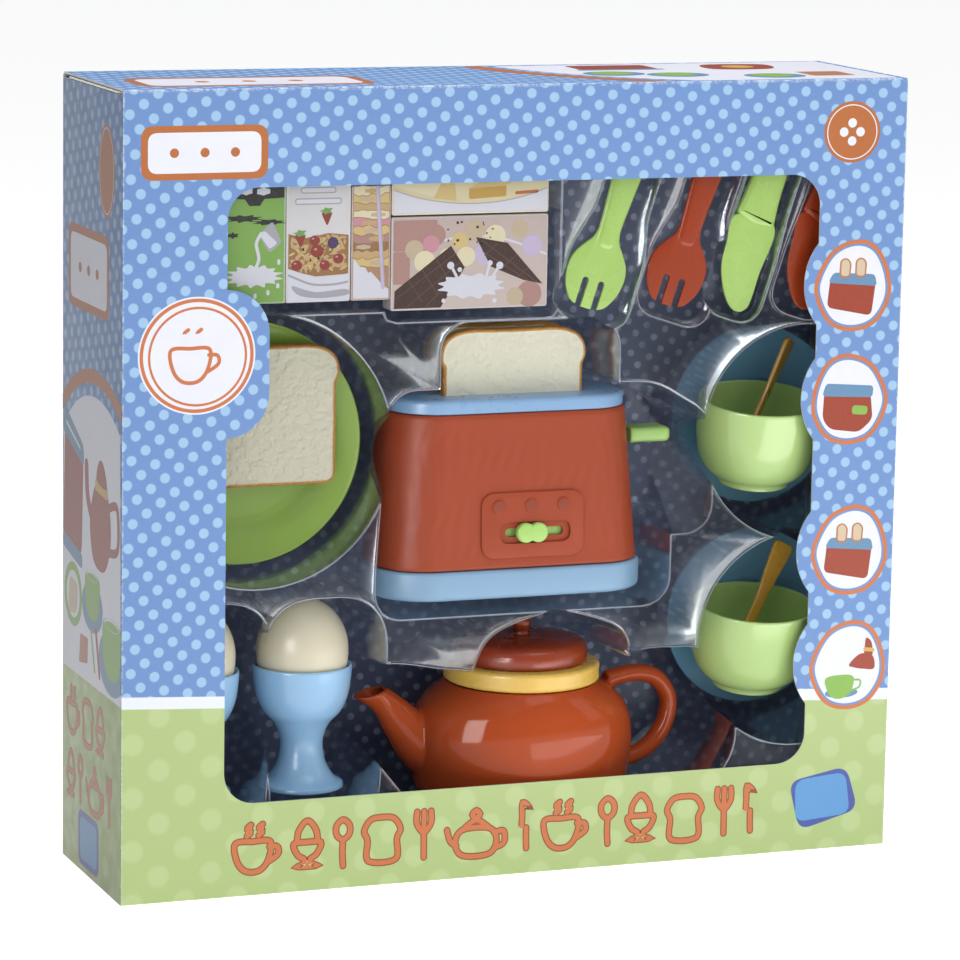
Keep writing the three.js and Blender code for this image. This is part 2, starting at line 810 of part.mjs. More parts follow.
function addBackingCard() {
  const half = width / 2 - board - card.sideRoom;
  const top = lidBottom - carton.tongueDrop - card.topRoom;
  const cardBack = back - board - gap;
  const sheet = block([-half, cardBack - card.thickness, trayBottom], [half, cardBack, top]);
  addPiece("backing_card", sheet, finish.navyCard());
}

// The clear tray

// A pocket's solid, from the front sheet to its floor, grown by the wall for the outside
function pocketSolid({ outline, floor, draft }, wall) {
  const mouth = wall > 0 ? sheetFront : sheetFront - overrun;
  const bottom = floor + wall;
  const bend = bottom - tray.floorRadius;
  const flare = (y) => wall + tray.floorRadius / 2 + draft * (floor - y);
  const rings = [
    { y: mouth, grow: flare(mouth) },
    { y: bend, grow: flare(bend) },
    { y: bottom, grow: wall },
  ];
  const outlines = rings.map(({ y, grow }) =>
    grown(outline, tray.room + grow).map((point) => new THREE.Vector3(point.x, y, point.y)),
  );
  return loft(outlines, (point) => new THREE.Vector2(point.x, point.z));
}

function boxPocket(x0, z0, x1, z1, radius, floor) {
  return { outline: roundedPolygon(rectangleCorners(x0, z0, x1, z1), radius), floor, draft: draftShare };
}

function foodPockets() {
  const tall = foodBottom + Math.max(food.milkHeight + food.gableHeight + food.finHeight, food.cerealHeight);
  const cartonFloor = foodY + Math.max(food.milkDepth, food.cerealDepth, food.cookieDepth) + gap;
  const packetFloor = foodY + Math.max(food.butterDepth, food.chocolateDepth) + gap;
  const cookieRight = cookieLeft + food.cookieWidth;
  const packetTop = butterBottom + food.butterHeight;
  return [
    boxPocket(foodLeft, foodBottom, cookieRight, tall, tray.pocketCorner, cartonFloor),
    boxPocket(chocolateLeft, chocolateBottom, foodRight, packetTop, tray.pocketCorner, packetFloor),
  ];
}

function cutleryPocket(tipX, headWidth) {
  const half = headWidth / 2;
  const endHalf = cutlery.endWidth / 2;
  const drop = cutlery.knifeDrop;
  const corners = [
    [-half, -drop],
    [half, -drop],
    [half, cutlery.headLength],
    [endHalf, cutlery.headLength + 2 * cutlery.shoulder],
    [endHalf, cutlery.length],
    [-endHalf, cutlery.length],
    [-endHalf, cutlery.headLength + 2 * cutlery.shoulder],
    [-half, cutlery.headLength],
  ];
  const outline = roundedPolygon(corners, cutlery.headCorner / 2, 1).map((point) =>
    point.rotateAround(new THREE.Vector2(0, 0), -tilt).add(new THREE.Vector2(tipX, cutleryBottom)),
  );
  return { outline, floor: cutleryY + cutlery.handleThickness + gap, draft: draftShare };
}

function toasterPocket() {
  const halfBase = toaster.baseWidth / 2;
  const halfTop = (shellFoot.width + shellTop.width) / 4;
  const leverRight = toasterX + leverReach;
  const leverRoomLow = toasterBottom + leverLow - lever.height / 2;
  const leverHigh = toasterBottom + lever.middleHeight + lever.height;
  const sliceMiddle = toasterX + toaster.slotShift;
  const halfSlice = bread.width / 2 + tray.room;
  const outline = roundedPolygon(
    [
      [toasterX - halfBase, toasterBottom],
      [toasterX + halfBase, toasterBottom],
      [toasterX + halfBase, leverRoomLow],
      [leverRight, leverRoomLow],
      [leverRight, leverHigh],
      [toasterX + halfTop, rimTop],
      [sliceMiddle + halfSlice, rimTop],
      [sliceMiddle + halfSlice, toastTop],
      [sliceMiddle - halfSlice, toastTop],
      [sliceMiddle - halfSlice, rimTop],
      [toasterX - halfTop, rimTop],
      [toasterX - halfBase, shellBottom],
    ],
    2 * tray.floorRadius,
  );
  const floor = toasterY + toaster.baseDepth / 2 + gap;
  return { outline, floor, draft: draftShare };
}

function roundPocket(x, z, radius, floor) {
  return { outline: circlePoints(x, z, radius, facets.pocket), floor, draft: roundPocketDraftShare };
}

function eggCupPocket(x) {
  const top = eggMiddle + egg.heightAbove;
  const rim = eggCup.rimRadius;
  const corners = [
    [x - eggCup.footRadius, eggCupBottom],
    [x + eggCup.footRadius, eggCupBottom],
    [x + rim, eggMiddle - egg.radius],
    [x + rim, top],
    [x - rim, top],
    [x - rim, eggMiddle - egg.radius],
  ];
  const outline = roundedPolygon(corners, tray.floorRadius);
  return { outline, floor: eggCupY + eggCup.rimRadius + gap, draft: draftShare };
}

// A smooth line round the spout, the collar, the lid, its knob and the handle
function teapotPocket() {
  const { halfWidth, height: bodyHeight, collarRadius, collarHeight } = teapot;
  const collar = bodyHeight + collarHeight;
  const lidHalf = teapot.lidRadius;
  const knobTop = lidTop - teapotBottom + teapot.lift + tray.liftRoom;
  const foot = teapot.mouthRadius;
  const outline = [
    [0, 0],
    [foot, 0],
    [halfWidth, foot / 2],
    [handleReach, foot],
    [handleReach + tray.floorRadius, halfWidth],
    [handleReach - tray.floorRadius, collar],
    [halfWidth, collar + tray.floorRadius],
    [lidHalf, collar + tray.floorRadius],
    [lidHalf - tray.floorRadius, knobTop - teapot.knobHeight],
    [tray.floorRadius, knobTop],
    [-tray.floorRadius, knobTop],
    [tray.floorRadius - lidHalf, knobTop - teapot.knobHeight],
    [-collarRadius, collar],
    [-halfWidth, collar],
    [-spoutReach, collar + tray.floorRadius],
    [-spoutReach - tray.floorRadius, bodyHeight],
    [-spoutReach, halfWidth],
    [-halfWidth, foot / 2],
    [-foot, 0],
  ];
  const curve = new THREE.SplineCurve([...outline, outline[0]].map(([x, z]) => new THREE.Vector2(x, z)));
  const points = curve.getPoints(facets.pocket).slice(0, -1);
  const placed = points.map((point) => point.add(new THREE.Vector2(teapotX, teapotBottom)));
  return { outline: placed, floor: teapotY + teapot.depth / 2 + gap, draft: draftShare };
}

function trayPockets() {
  const saucerFloor = saucerY + saucer.depth + saucer.thickness + gap;
  const plateFloor = plateY + plate.depth + plate.nestGap + 2 * plate.thickness + gap;
  return [
    ...foodPockets(),
    cutleryPocket(foodRight + tipOffsets.forkGreen, cutlery.headWidth),
    cutleryPocket(foodRight + tipOffsets.forkRed, cutlery.headWidth),
    cutleryPocket(foodRight + tipOffsets.knifeGreen, cutlery.bladeWidth),
    cutleryPocket(foodRight + tipOffsets.knifeRed, cutlery.bladeWidth),
    toasterPocket(),
    roundPocket(plateX, plateMiddle, plate.radius, plateFloor),
    roundPocket(saucerX, lowerSaucerMiddle, saucer.radius, saucerFloor),
    roundPocket(saucerX, upperSaucerMiddle, saucer.radius, saucerFloor),
    eggCupPocket(eggCupLeftX),
    eggCupPocket(eggCupRightX),
    teapotPocket(),
  ];
}

function blisterTray() {
  const ends = [trayLeft, trayBottom, -trayLeft, trayTop];
  const rim = roundedPolygon(rectangleCorners(...ends), tray.skirtCorner, 2);
  const room = new THREE.Shape(grown(rim, -tray.wall));
  const outer = solidOf(slab(new THREE.Shape(rim), sheetFront, skirtBack));
  const inner = solidOf(slab(room, sheetFront + tray.wall, skirtBack + overrun));
  const through = solidOf(slab(room, sheetFront - 2 * overrun, skirtBack));
  const pockets = trayPockets();
  const outsides = pockets.map((pocket) => solidOf(pocketSolid(pocket, tray.wall)).intersect(outer));
  const insides = pockets.map((pocket) => solidOf(pocketSolid(pocket, 0)).intersect(through));
  const shell = outsides.reduce((whole, pocket) => whole.add(pocket), outer.subtract(inner));
  return insides.reduce((rest, pocket) => rest.subtract(pocket), shell);
}

// The toaster, in its own frame: the middle of the plan, on the bottom of the base
function shellLevels(inset, low, high) {
  const size = (z) => {
    const share = (z - toaster.baseHeight - gap) / toaster.shellHeight;
    return [
      THREE.MathUtils.lerp(shellFoot.width, shellTop.width, share) - 2 * inset,
      THREE.MathUtils.lerp(shellFoot.depth, shellTop.depth, share) - 2 * inset,
    ];
  };
  const level = (z, drawnIn = 0) => {
    const [levelWidth, levelDepth] = size(z);
    const corner = toaster.shellCorner - inset;
    return { outline: plan(levelWidth - 2 * drawnIn, levelDepth - 2 * drawnIn, corner), z };
  };
  if (inset > 0) return [level(low), level(high)];
  const round = toaster.shellRound;
  return [level(low, round / 3), level(low + round / 2), level(high - round), level(high, round / 2)];
}

const panelLean = Math.atan(toaster.shellFrontTaper / toaster.shellHeight);

// Puts a piece of the control panel, drawn with its face at y = 0, on the leaning front of the shell
function onPanel(geometry) {
  const hinge = toaster.baseHeight + gap;
  return geometry
    .translate(0, 0, -hinge)
    .rotateX(-panelLean)
    .translate(0, -shellFoot.depth / 2, hinge);
}

function panelShape(shift, low, shapeWidth, shapeHeight, corner) {
  const corners = rectangleCorners(shift - shapeWidth / 2, low, shift + shapeWidth / 2, low + shapeHeight);
  return new THREE.Shape(roundedPolygon(corners, corner));
}

const panelSlotLow = panel.recessLow + (panel.recessHeight - panel.slotHeight) / 2;

function toasterShell() {
  const low = toaster.baseHeight + gap;
  const high = low + toaster.shellHeight;
  const outside = stacked(shellLevels(0, low, high));
  const inside = stacked(shellLevels(toaster.wall, low - overrun, high + overrun));
  const face = panelShape(panel.shift, panel.low, panel.width, panel.height, panel.corner);
  const raised = slab(face, -panel.proud, toaster.wall / 2);
  const discs = [-1, 0, 1].map((step) => {
    const tall = panel.proud + panel.discProud;
    const disc = new THREE.CylinderGeometry(panel.discRadius, panel.discRadius, tall, facets.small);
    const y = -tall / 2 - weld;
    return moved(disc, panel.discShift + step * panel.discPitch, y, panel.discHeight);
  });
  const recess = slab(
    panelShape(panel.recessShift, panel.recessLow, panel.recessWidth, panel.recessHeight, panel.recessCorner),
    -panel.proud - overrun,
    panel.recessDepth - panel.proud,
  );
  const slot = slab(
    panelShape(panel.recessShift, panelSlotLow, panel.slotWidth, panel.slotHeight, panel.slotHeight / 2),
    -overrun,
    toaster.wall + overrun,
  );
  const solid = joined(outside, onPanel(raised), ...discs.map(onPanel));
  const body = cutFrom(solid, inside, onPanel(recess), onPanel(slot));
  const armTop = lever.middleHeight + lifter.armHeight / 2 + lifter.slotRoom;
  const armLow = lever.middleHeight - lifter.travel - lifter.armHeight / 2 - lifter.slotRoom;
  const halfSlot = lifter.slotWidth / 2;
  const slotStart = shellTop.width / 4;
  const leverSlot = block([slotStart, -halfSlot, armLow], [toaster.baseWidth, halfSlot, armTop]);
  return cutFrom(body, leverSlot);
}

function toasterBase() {
  const corner = toaster.baseCorner;
  const chamfer = toaster.baseChamfer;
  const level = (inset, z) => {
    const outline = plan(toaster.baseWidth - 2 * inset, toaster.baseDepth - 2 * inset, corner - inset);
    return { outline, z };
  };
  const outside = stacked([
    level(chamfer, 0),
    level(0, chamfer),
    level(0, toaster.baseHeight - chamfer),
    level(chamfer / 2, toaster.baseHeight),
  ]);
  const wall = 2 * toaster.wall + chamfer;
  const inside = stacked([level(wall, toaster.baseFloor), level(wall, toaster.baseHeight + overrun)]);
  const { postRadius, postHeight } = spring;
  const post = new THREE.CylinderGeometry(postRadius, postRadius, postHeight, facets.small);
  const standing = post.rotateX(Math.PI / 2).translate(springX, 0, toaster.baseFloor / 2 + postHeight / 2);
  return cutFrom(joined(outside), inside).add(solidOf(standing));
}

function toasterTopRim() {
  const low = toaster.baseHeight + toaster.shellHeight + 2 * gap;
  const high = low + toaster.rimHeight;
  const inset = toaster.rimInset;
  const round = toaster.rimRound;
  const level = (z, drawnIn) => {
    const rimWidth = shellTop.width - 2 * inset - 2 * drawnIn;
    const rimDepth = shellTop.depth - 2 * inset - 2 * drawnIn;
    return { outline: plan(rimWidth, rimDepth, toaster.shellCorner - inset - drawnIn), z };
  };
  const outside = stacked([
    level(low, 0),
    level(high - round, 0),
    level(high - round / 4, round / 3),
    level(high, round),
  ]);
  const skirt = toaster.rimSkirt;
  const inside = stacked([level(low - overrun, skirt), level(high - toaster.rimPlate, skirt)]);
  let rim = cutFrom(solidOf(outside), inside);
  for (const side of [-1, 1]) {
    const y = (side * toaster.slotPitch) / 2;
    const cut = plan(toaster.slotLength, toaster.slotWidth, toaster.slotWidth / 2);
    const lipOutline = grown(cut, toaster.slotLip);
    const lip = stacked([
      { outline: lipOutline, z: high - toaster.rimPlate },
      { outline: grown(cut, toaster.slotLip / 2), z: high + toaster.slotLip / 2 },
    ]);
    rim = rim.add(solidOf(moved(lip, toaster.slotShift, y, 0)));
  }
  for (const side of [-1, 1]) {
    const y = (side * toaster.slotPitch) / 2;
    const cut = plan(toaster.slotLength, toaster.slotWidth, toaster.slotWidth / 2);
    const hole = stacked([
      { outline: cut, z: low - overrun },
      { outline: cut, z: high + overrun },
    ]);
    rim = cutFrom(rim, moved(hole, toaster.slotShift, y, 0));
  }
  return rim;
}

// The lifter: a shelf under the slices, an upright at its right end, and an arm out to the lever
const sliceBottom = toastBottom - toasterBottom;
const shelfTop = sliceBottom - gap;
const shelfLow = shelfTop - lifter.shelfThickness;
const shelfLeft = toaster.slotShift - lifter.shelfWidth / 2;
const innerHalf = shellTop.width / 2 - toaster.wall;
const uprightRight = innerHalf - lifter.sideRoom;
const springX = uprightRight - lifter.uprightWidth - spring.radius - spring.wire;

function breadLifter() {
  const halfDepth = toaster.slotPitch / 2 + toaster.slotWidth / 2 - lifter.slotRoom;
  const shelf = block([shelfLeft, -halfDepth, shelfLow], [uprightRight, halfDepth, shelfTop]);
  const armTop = lever.middleHeight + lifter.armHeight / 2;
  const halfArm = lifter.armDepth / 2;
  const uprightLeft = uprightRight - lifter.uprightWidth;
  const upright = block([uprightLeft, -halfArm, shelfLow], [uprightRight, halfArm, armTop]);
  const armEnd = leverStart + lifter.armReach;
  const arm = block([uprightLeft, -halfArm, armTop - lifter.armHeight], [armEnd, halfArm, armTop]);
  return joined(shelf, upright, arm);
}

function leverPaddle() {
  const corners = rectangleCorners(-lever.depth / 2, -lever.height / 2, lever.depth / 2, lever.height / 2);
  const outline = roundedPolygon(corners, lever.corner);
  const end = leverStart + lever.length;
  const tip = grown(outline, -lever.corner / 3);
  const z = lever.middleHeight;
  const ring = (points, x) => points.map((point) => new THREE.Vector3(x, point.x, z + point.y));
  const rings = [ring(outline, leverStart), ring(outline, end - lever.corner / 2), ring(tip, end)];
  const paddle = solidOf(loft(rings, (point) => new THREE.Vector2(point.y, point.z)));
  const halfArm = lifter.armDepth / 2 + gap;
  const halfHeight = lifter.armHeight / 2 + gap;
  const socketStart = leverStart - overrun;
  const socketEnd = leverStart + lifter.armReach + gap;
  const socket = block([socketStart, -halfArm, z - halfHeight], [socketEnd, halfArm, z + halfHeight]);
  return cutFrom(paddle, socket);
}

// Where the knob's two round ends meet
const knobWaist = Math.asin(knob.lobePitch / 2 / knob.lobeRadius);

function browningKnob() {
  const z = panelSlotLow + panel.slotHeight / 2;
  const x = panel.recessShift - panel.slotWidth / 2 + knob.start + knob.stemWidth / 2;
  const half = knob.lobePitch / 2;
  const outline = new THREE.Shape();
  const swing = Math.PI / 2 + knobWaist;
  outline.absarc(half, 0, knob.lobeRadius, -swing, swing, false);
  outline.absarc(-half, 0, knob.lobeRadius, Math.PI - swing, Math.PI + swing, false);
  const face = panel.recessDepth - panel.proud - gap;
  const cap = slab(outline, face - knob.thickness, face, toaster.rimSkirt / 2);
  const clipFace = toaster.wall + 2 * gap;
  const halfStem = [knob.stemWidth / 2, knob.stemHeight / 2];
  const halfClip = [knob.clipWidth / 2, knob.clipHeight / 2];
  const clipBack = clipFace + knob.clipThickness;
  const stem = block([-halfStem[0], face - weld, -halfStem[1]], [halfStem[0], clipFace + weld, halfStem[1]]);
  const clip = block([-halfClip[0], clipFace, -halfClip[1]], [halfClip[0], clipBack, halfClip[1]]);
  return joined(...[cap, stem, clip].map((part) => onPanel(moved(part, x, 0, z))));
}

class Helix extends THREE.Curve {
  constructor(radius, low, high, turns) {
    super();
    Object.assign(this, { radius, low, high, turns });
  }
  getPoint(share, target = new THREE.Vector3()) {
    const angle = 2 * Math.PI * this.turns * share;
    const z = THREE.MathUtils.lerp(this.low, this.high, share);
    return target.set(this.radius * Math.cos(angle), this.radius * Math.sin(angle), z);
  }
}

function liftSpring() {
  const low = toaster.baseFloor + spring.endRoom + spring.wire / 2;
  const high = shelfLow - spring.endRoom - spring.wire / 2;
  const path = new Helix(spring.radius, low, high, spring.turns);
  const section = new THREE.Shape(circlePoints(0, 0, spring.wire / 2, 5));
  const steps = spring.turns * 8;
  const wire = new THREE.ExtrudeGeometry(section, { steps, extrudePath: path, bevelEnabled: false });
  return moved(wire, springX, 0, 0);
}

// A slice of bread, standing on z = 0 with its middle at y = 0
function breadSlice() {
  const [half, neck] = [bread.width / 2, bread.neckWidth / 2];
  const { height: tall, shoulderHeight, neckHeight, crownDip, footRadius } = bread;
  const lobe = tall - shoulderHeight;
  const shape = new THREE.Shape();
  shape.moveTo(footRadius - neck, 0);
  shape.lineTo(neck - footRadius, 0);
  shape.quadraticCurveTo(neck, 0, neck, footRadius);
  shape.lineTo(neck, neckHeight);
  shape.quadraticCurveTo(half, shoulderHeight - lobe / 4, half, shoulderHeight);
  shape.quadraticCurveTo(half, tall, half / 2, tall);
  shape.quadraticCurveTo(0, tall - 2 * crownDip, -half / 2, tall);
  shape.quadraticCurveTo(-half, tall, -half, shoulderHeight);
  shape.quadraticCurveTo(-half, shoulderHeight - lobe / 4, -neck, neckHeight);
  shape.lineTo(-neck, footRadius);
  shape.quadraticCurveTo(-neck, 0, footRadius - neck, 0);
  const outline = new THREE.Shape(shape.getPoints(facets.corner));
  return slab(outline, -bread.thickness / 2, bread.thickness / 2, bread.edge);
}

function addToaster() {
  const group = new THREE.Group();
  group.position.set(toasterX, toasterY, toasterBottom);
  set.add(group);
  addPiece("toaster_base", toasterBase(), finish.blue(), group);
  addPiece("toaster_shell", toasterShell(), finish.red(), group);
  addPiece("toaster_top_rim", toasterTopRim(), finish.blue(), group);
  addPiece("toaster_bread_carriage", breadLifter(), finish.blue(), group);
  addPiece("toaster_lever", leverPaddle(), finish.green(), group);
  addPiece("toaster_browning_knob", browningKnob(), finish.green(), group);
  addPiece("toaster_lift_spring", liftSpring(), finish.spring(), group);
  for (const [name, side] of [
    ["toast_front", -1],
    ["toast_rear", 1],
  ]) {
    const slice = addPiece(name, breadSlice(), finish.crust(), group);
    slice.position.set(toaster.slotShift, (side * toaster.slotPitch) / 2, sliceBottom);
  }
}

// Dishes
const facingFront = Math.PI / 2;

const lowWallShare = 0.8; // how far down a dish's wall is where it turns into the well

// A pressed dish of one thickness, with its rim's edge at z = 0 and its well below
function dish({ radius, wellRadius, depth: dishDepth, thickness }) {
  const slope = radius - wellRadius;
  const top = [
    [radius, 0],
    [radius - slope / 3, -dishDepth / 4],
    [wellRadius + slope / 5, -dishDepth * lowWallShare],
    [wellRadius, -dishDepth],
    [0, -dishDepth],
  ];
  const under = top.map(([r, z]) => [r, z - thickness]).reverse();
  return turned([...under, ...top]);
}

function addPlates() {
  const names = ["plate_front", "plate_rear"];
  names.forEach((name, i) => {
    const disc = addPiece(name, dish(plate), finish.plate());
    disc.rotation.x = facingFront;
    disc.position.set(plateX, plateY + i * (plate.thickness + plate.nestGap), plateMiddle);
  });
  const slice = addPiece("toast_on_plate", breadSlice(), finish.crust());
  const z = plateMiddle + sliceOnPlateRise - bread.height / 2;
  slice.position.set(plateX + sliceOnPlateShift, plateY - gap - bread.thickness / 2, z);
}

function eggProfile(grow) {
  const points = [];
  for (let i = 0; i <= facets.curve; i++) {
    const angle = -Math.PI / 2 + (Math.PI * i) / facets.curve;
    const reach = angle < 0 ? egg.heightBelow : egg.heightAbove;
    points.push([(egg.radius + grow) * Math.cos(angle), (reach + grow) * Math.sin(angle)]);
  }
  points[0][0] = 0;
  points[facets.curve][0] = 0;
  return points;
}

function eggCupSolid() {
  const { rimRadius, footRadius, footHeight, footRecess, neckRadius, neckHeight, height: tall } = eggCup;
  const middle = tall + egg.middleAboveRim;
  const seat = eggProfile(gap + gap / 2)
    .map(([r, z]) => [r, z + middle])
    .filter(([, z]) => z < tall - eggCup.rimRound);
  const mouthDepthShare = (egg.middleAboveRim + eggCup.rimRound) / egg.heightBelow;
  const mouth = (egg.radius + 2 * gap) * Math.sqrt(1 - mouthDepthShare ** 2);
  seat.push([mouth, tall - eggCup.rimRound]);
  const bowlLow = seat[0][1] - eggCup.floor;
  const rimInside = mouth + gap;
  const profile = [
    [0, footRecess],
    [footRadius - 2 * footHeight, footRecess],
    [footRadius - footHeight, 0],
    [footRadius, 0],
    [footRadius, footHeight],
    [(footRadius + neckRadius) / 2, footHeight * 2],
    [neckRadius, neckHeight / 2],
    [neckRadius, neckHeight],
    [(rimRadius + neckRadius) / 2, bowlLow + eggCup.floor],
    [rimRadius - footHeight, (tall + bowlLow) / 2],
    [rimRadius - eggCup.rimRound, tall - 2 * footHeight],
    [rimRadius, tall - eggCup.rimRound],
    [(rimRadius + rimInside) / 2, tall],
    ...seat.reverse(),
  ];
  return turned(profile, facets.disc - 4);
}

function addEggCups() {
  const places = [
    ["left", eggCupLeftX],
    ["right", eggCupRightX],
  ];
  for (const [side, x] of places) {
    const stand = addPiece("egg_cup_" + side, eggCupSolid(), finish.eggCup());
    stand.position.set(x, eggCupY, eggCupBottom);
    const ovum = addPiece("egg_" + side, turned(eggProfile(0), facets.disc - 4), finish.egg());
    ovum.position.set(x, eggCupY, eggMiddle);
  }
}

// The teapot, in its own frame: the middle of the body, on its bottom

function potRings(inset, levels) {
  return levels.map(({ z, bulge }) => {
    const reachX = teapot.mouthRadius + (teapot.halfWidth - teapot.mouthRadius) * bulge - inset;
    const reachY = teapot.mouthRadius + (teapot.depth / 2 - teapot.mouthRadius) * bulge - inset;
    const circle = circlePoints(0, 0, 1, facets.disc + 2);
    const outline = circle.map((point) => new THREE.Vector2(point.x * reachX, point.y * reachY));
    return { outline, z };
  });
}

function spoutRings(thinner, past) {
  return spoutShares.map(({ out, up, radius, turn }, i) => {
    const way = Math.PI - THREE.MathUtils.degToRad(turn);
    const beyond = i === spoutShares.length - 1 ? past : 0;
    return {
      x: -out * teapot.halfWidth + beyond * Math.cos(way),
      z: up * teapot.height + beyond * Math.sin(way),
      radius: radius * teapot.halfWidth - thinner,
      turn: way,
    };
  });
}

function teapotBody() {
  const outside = bellyShares.map(([share, bulge]) => ({ z: share * teapot.height, bulge }));
  const inside = outside.slice(1).map(({ z, bulge }) => ({ z: Math.max(z, teapot.floor), bulge }));
  inside[inside.length - 1].bulge = inside[inside.length - 1].bulge - 1 / teapot.mouthRadius;
  const chimney = { ...inside[inside.length - 1], z: teapot.height + overrun };
  const body = stacked(potRings(0, outside));
  const hollow = stacked(potRings(teapot.wall, [...inside, chimney]));
  const handlePoints = handleShares.map(([out, up]) => [out * teapot.halfWidth, up * teapot.height]);
  const handle = bentRod(handlePoints, teapot.handleRadius, teapot.handleDepth / teapot.handleRadius, 11);
  const spout = bentBar(spoutRings(0, 0), 1, facets.small);
  const bore = bentBar(spoutRings(teapot.spoutWall, overrun), 1, facets.small);
  return cutFrom(joined(body, handle, spout), hollow, bore);
}

function teapotCollar() {
  const { collarRadius, collarHeight, collarRound, collarBore } = teapot;
  return turned([
    [collarBore, 0],
    [collarRadius - collarRound, 0],
    [collarRadius, collarRound],
    [collarRadius, collarHeight - collarRound],
    [collarRadius - collarRound, collarHeight],
    [collarBore, collarHeight],
    [collarBore, 0],
  ]);
}

function teapotLid() {
  const { lidRadius, lidHeight, lidStep, knobRadius, knobHeight } = teapot;
  const { flangeRadius, flangeDepth, flangeWall } = teapot;
  const knobLow = lidHeight - gap;
  return turned([
    [0, gap],
    [flangeRadius - flangeWall, gap],
    [flangeRadius - flangeWall, -flangeDepth],
    [flangeRadius, -flangeDepth],
    [flangeRadius, 0],
    [lidRadius, 0],
    [lidRadius, lidStep],
    [lidRadius - knobRadius / 2, lidHeight - knobRadius / 2],
    [lidRadius - 2 * knobRadius, lidHeight - knobRadius / 4],
    [teapot.knobNeck, knobLow],
    [teapot.knobNeck, knobLow + knobHeight / 4],
    [knobRadius, knobLow + knobHeight / 2],
    [knobRadius, lidHeight + knobHeight - knobRadius / 2],
    [knobRadius / 2, lidHeight + knobHeight],
    [0, lidHeight + knobHeight],
  ]);
}

function addTeapot() {
  const group = new THREE.Group();
  group.position.set(teapotX, teapotY, teapotBottom);
  set.add(group);
  addPiece("teapot_body", teapotBody(), finish.glaze(), group);
  const collar = addPiece("teapot_collar", teapotCollar(), finish.collar(), group);
  collar.position.z = teapot.height + gap;
  const lid = addPiece("teapot_lid", teapotLid(), finish.lid(), group);
  lid.position.z = teapot.height + teapot.collarHeight + 2 * gap;
}

// Cups, with their handles to the right
function cupSolid() {
  const { rimRadius, height: tall, wall, footRadius, footHeight, footRecess } = cup;
  const inside = cupOutline.map(([r, z]) => [r - wall, Math.max(z, footHeight + wall)]).reverse();
  const bowl = turned([
    [0, footRecess],
    [footRadius - wall, footRecess],
    [footRadius - wall, 0],
    [footRadius, 0],
    [footRadius, footHeight / 2],
    ...cupOutline,
    ...inside,
    [0, footHeight + wall],
  ]);
  const hollow = turned([
    [0, footHeight + wall],
    ...[...inside].reverse(),
    [rimRadius - wall, tall + overrun],
    [0, tall + overrun],
  ]);
  const reach = rimRadius + cup.handleReach;
  const { handleTop, handleLow, handleRadius, handleDepth } = cup;
  const points = [
    [rimRadius - 2 * wall, handleTop],
    [(rimRadius + reach) / 2, handleTop],
    [reach - handleRadius, (3 * handleTop + handleLow) / 4],
    [reach - 2 * handleRadius, (handleTop + handleLow) / 2 - handleRadius],
    [rimRadius - 2 * wall, handleLow],
  ];
  const ear = bentRod(points, handleRadius, handleDepth / handleRadius, 8);
  return cutFrom(joined(bowl, ear), hollow);
}

// The outline of a spoon's handle, from the bowl's middle up
function spoonSolid() {
  const neck = spoon.neckWidth / 2;
  const end = spoon.endWidth / 2;
  const half = spoon.bowlLength / 2;
  const top = spoon.length - half;
  const handle = roundedPolygon(
    [
      [-neck, half - 2 * spoon.wall],
      [neck, half - 2 * spoon.wall],
      [neck, top / 2],
      [end, top - end],
      [end, top],
      [-end, top],
      [-end, top - end],
      [-neck, top / 2],
    ],
    spoon.neckWidth,
    2,
  );
  const stem = slab(new THREE.Shape(handle), -spoon.thickness / 2, spoon.thickness / 2, cutlery.edge);
  const sphere = (grow) =>
    new THREE.SphereGeometry(1, facets.small, facets.bar).scale(
      spoon.bowlWidth / 2 - grow,
      spoon.bowlDepth - grow,
      half - grow,
    );
  const bowl = solidOf(sphere(0)).subtract(solidOf(sphere(spoon.wall)));
  const face = block([-half, -spoon.bowlDepth - overrun, -spoon.length], [half, 0, spoon.length]);
  const scoop = cutFrom(bowl, face);
  return scoop.add(solidOf(stem));
}

function addCups() {
  const places = [
    ["lower", lowerSaucerMiddle],
    ["upper", upperSaucerMiddle],
  ];
  for (const [name, z] of places) {
    const disc = addPiece("saucer_" + name, dish(saucer), finish.saucer());
    disc.rotation.x = facingFront;
    disc.position.set(saucerX, saucerY, z);

    const group = new THREE.Group();
    group.position.set(saucerX - cup.shift, cupY, z - cup.foot);
    group.rotation.x = cupLean;
    set.add(group);
    addPiece("cup_" + name, cupSolid(), finish.cup(), group);

    const stir = addPiece("spoon_" + name, spoonSolid(), finish.spoon(), group);
    const floor = cup.footHeight + cup.wall;
    stir.rotation.set(-THREE.MathUtils.degToRad(spoon.tip), THREE.MathUtils.degToRad(spoon.lean), 0);
    stir.position.set(-spoon.bowlWidth / 2, 0, floor + spoon.heel + spoon.bowlLength / 4);
  }
}

// Forks and knives: outlines with the tip at z = 0 and the handle up
function handleOutline(neck, neckHeight, end) {
  return [
    [neck, neckHeight],
    [end, cutlery.length - cutlery.endWidth],
    [end, cutlery.length],
    [-end, cutlery.length],
    [-end, cutlery.length - cutlery.endWidth],
    [-neck, neckHeight],
  ];
}

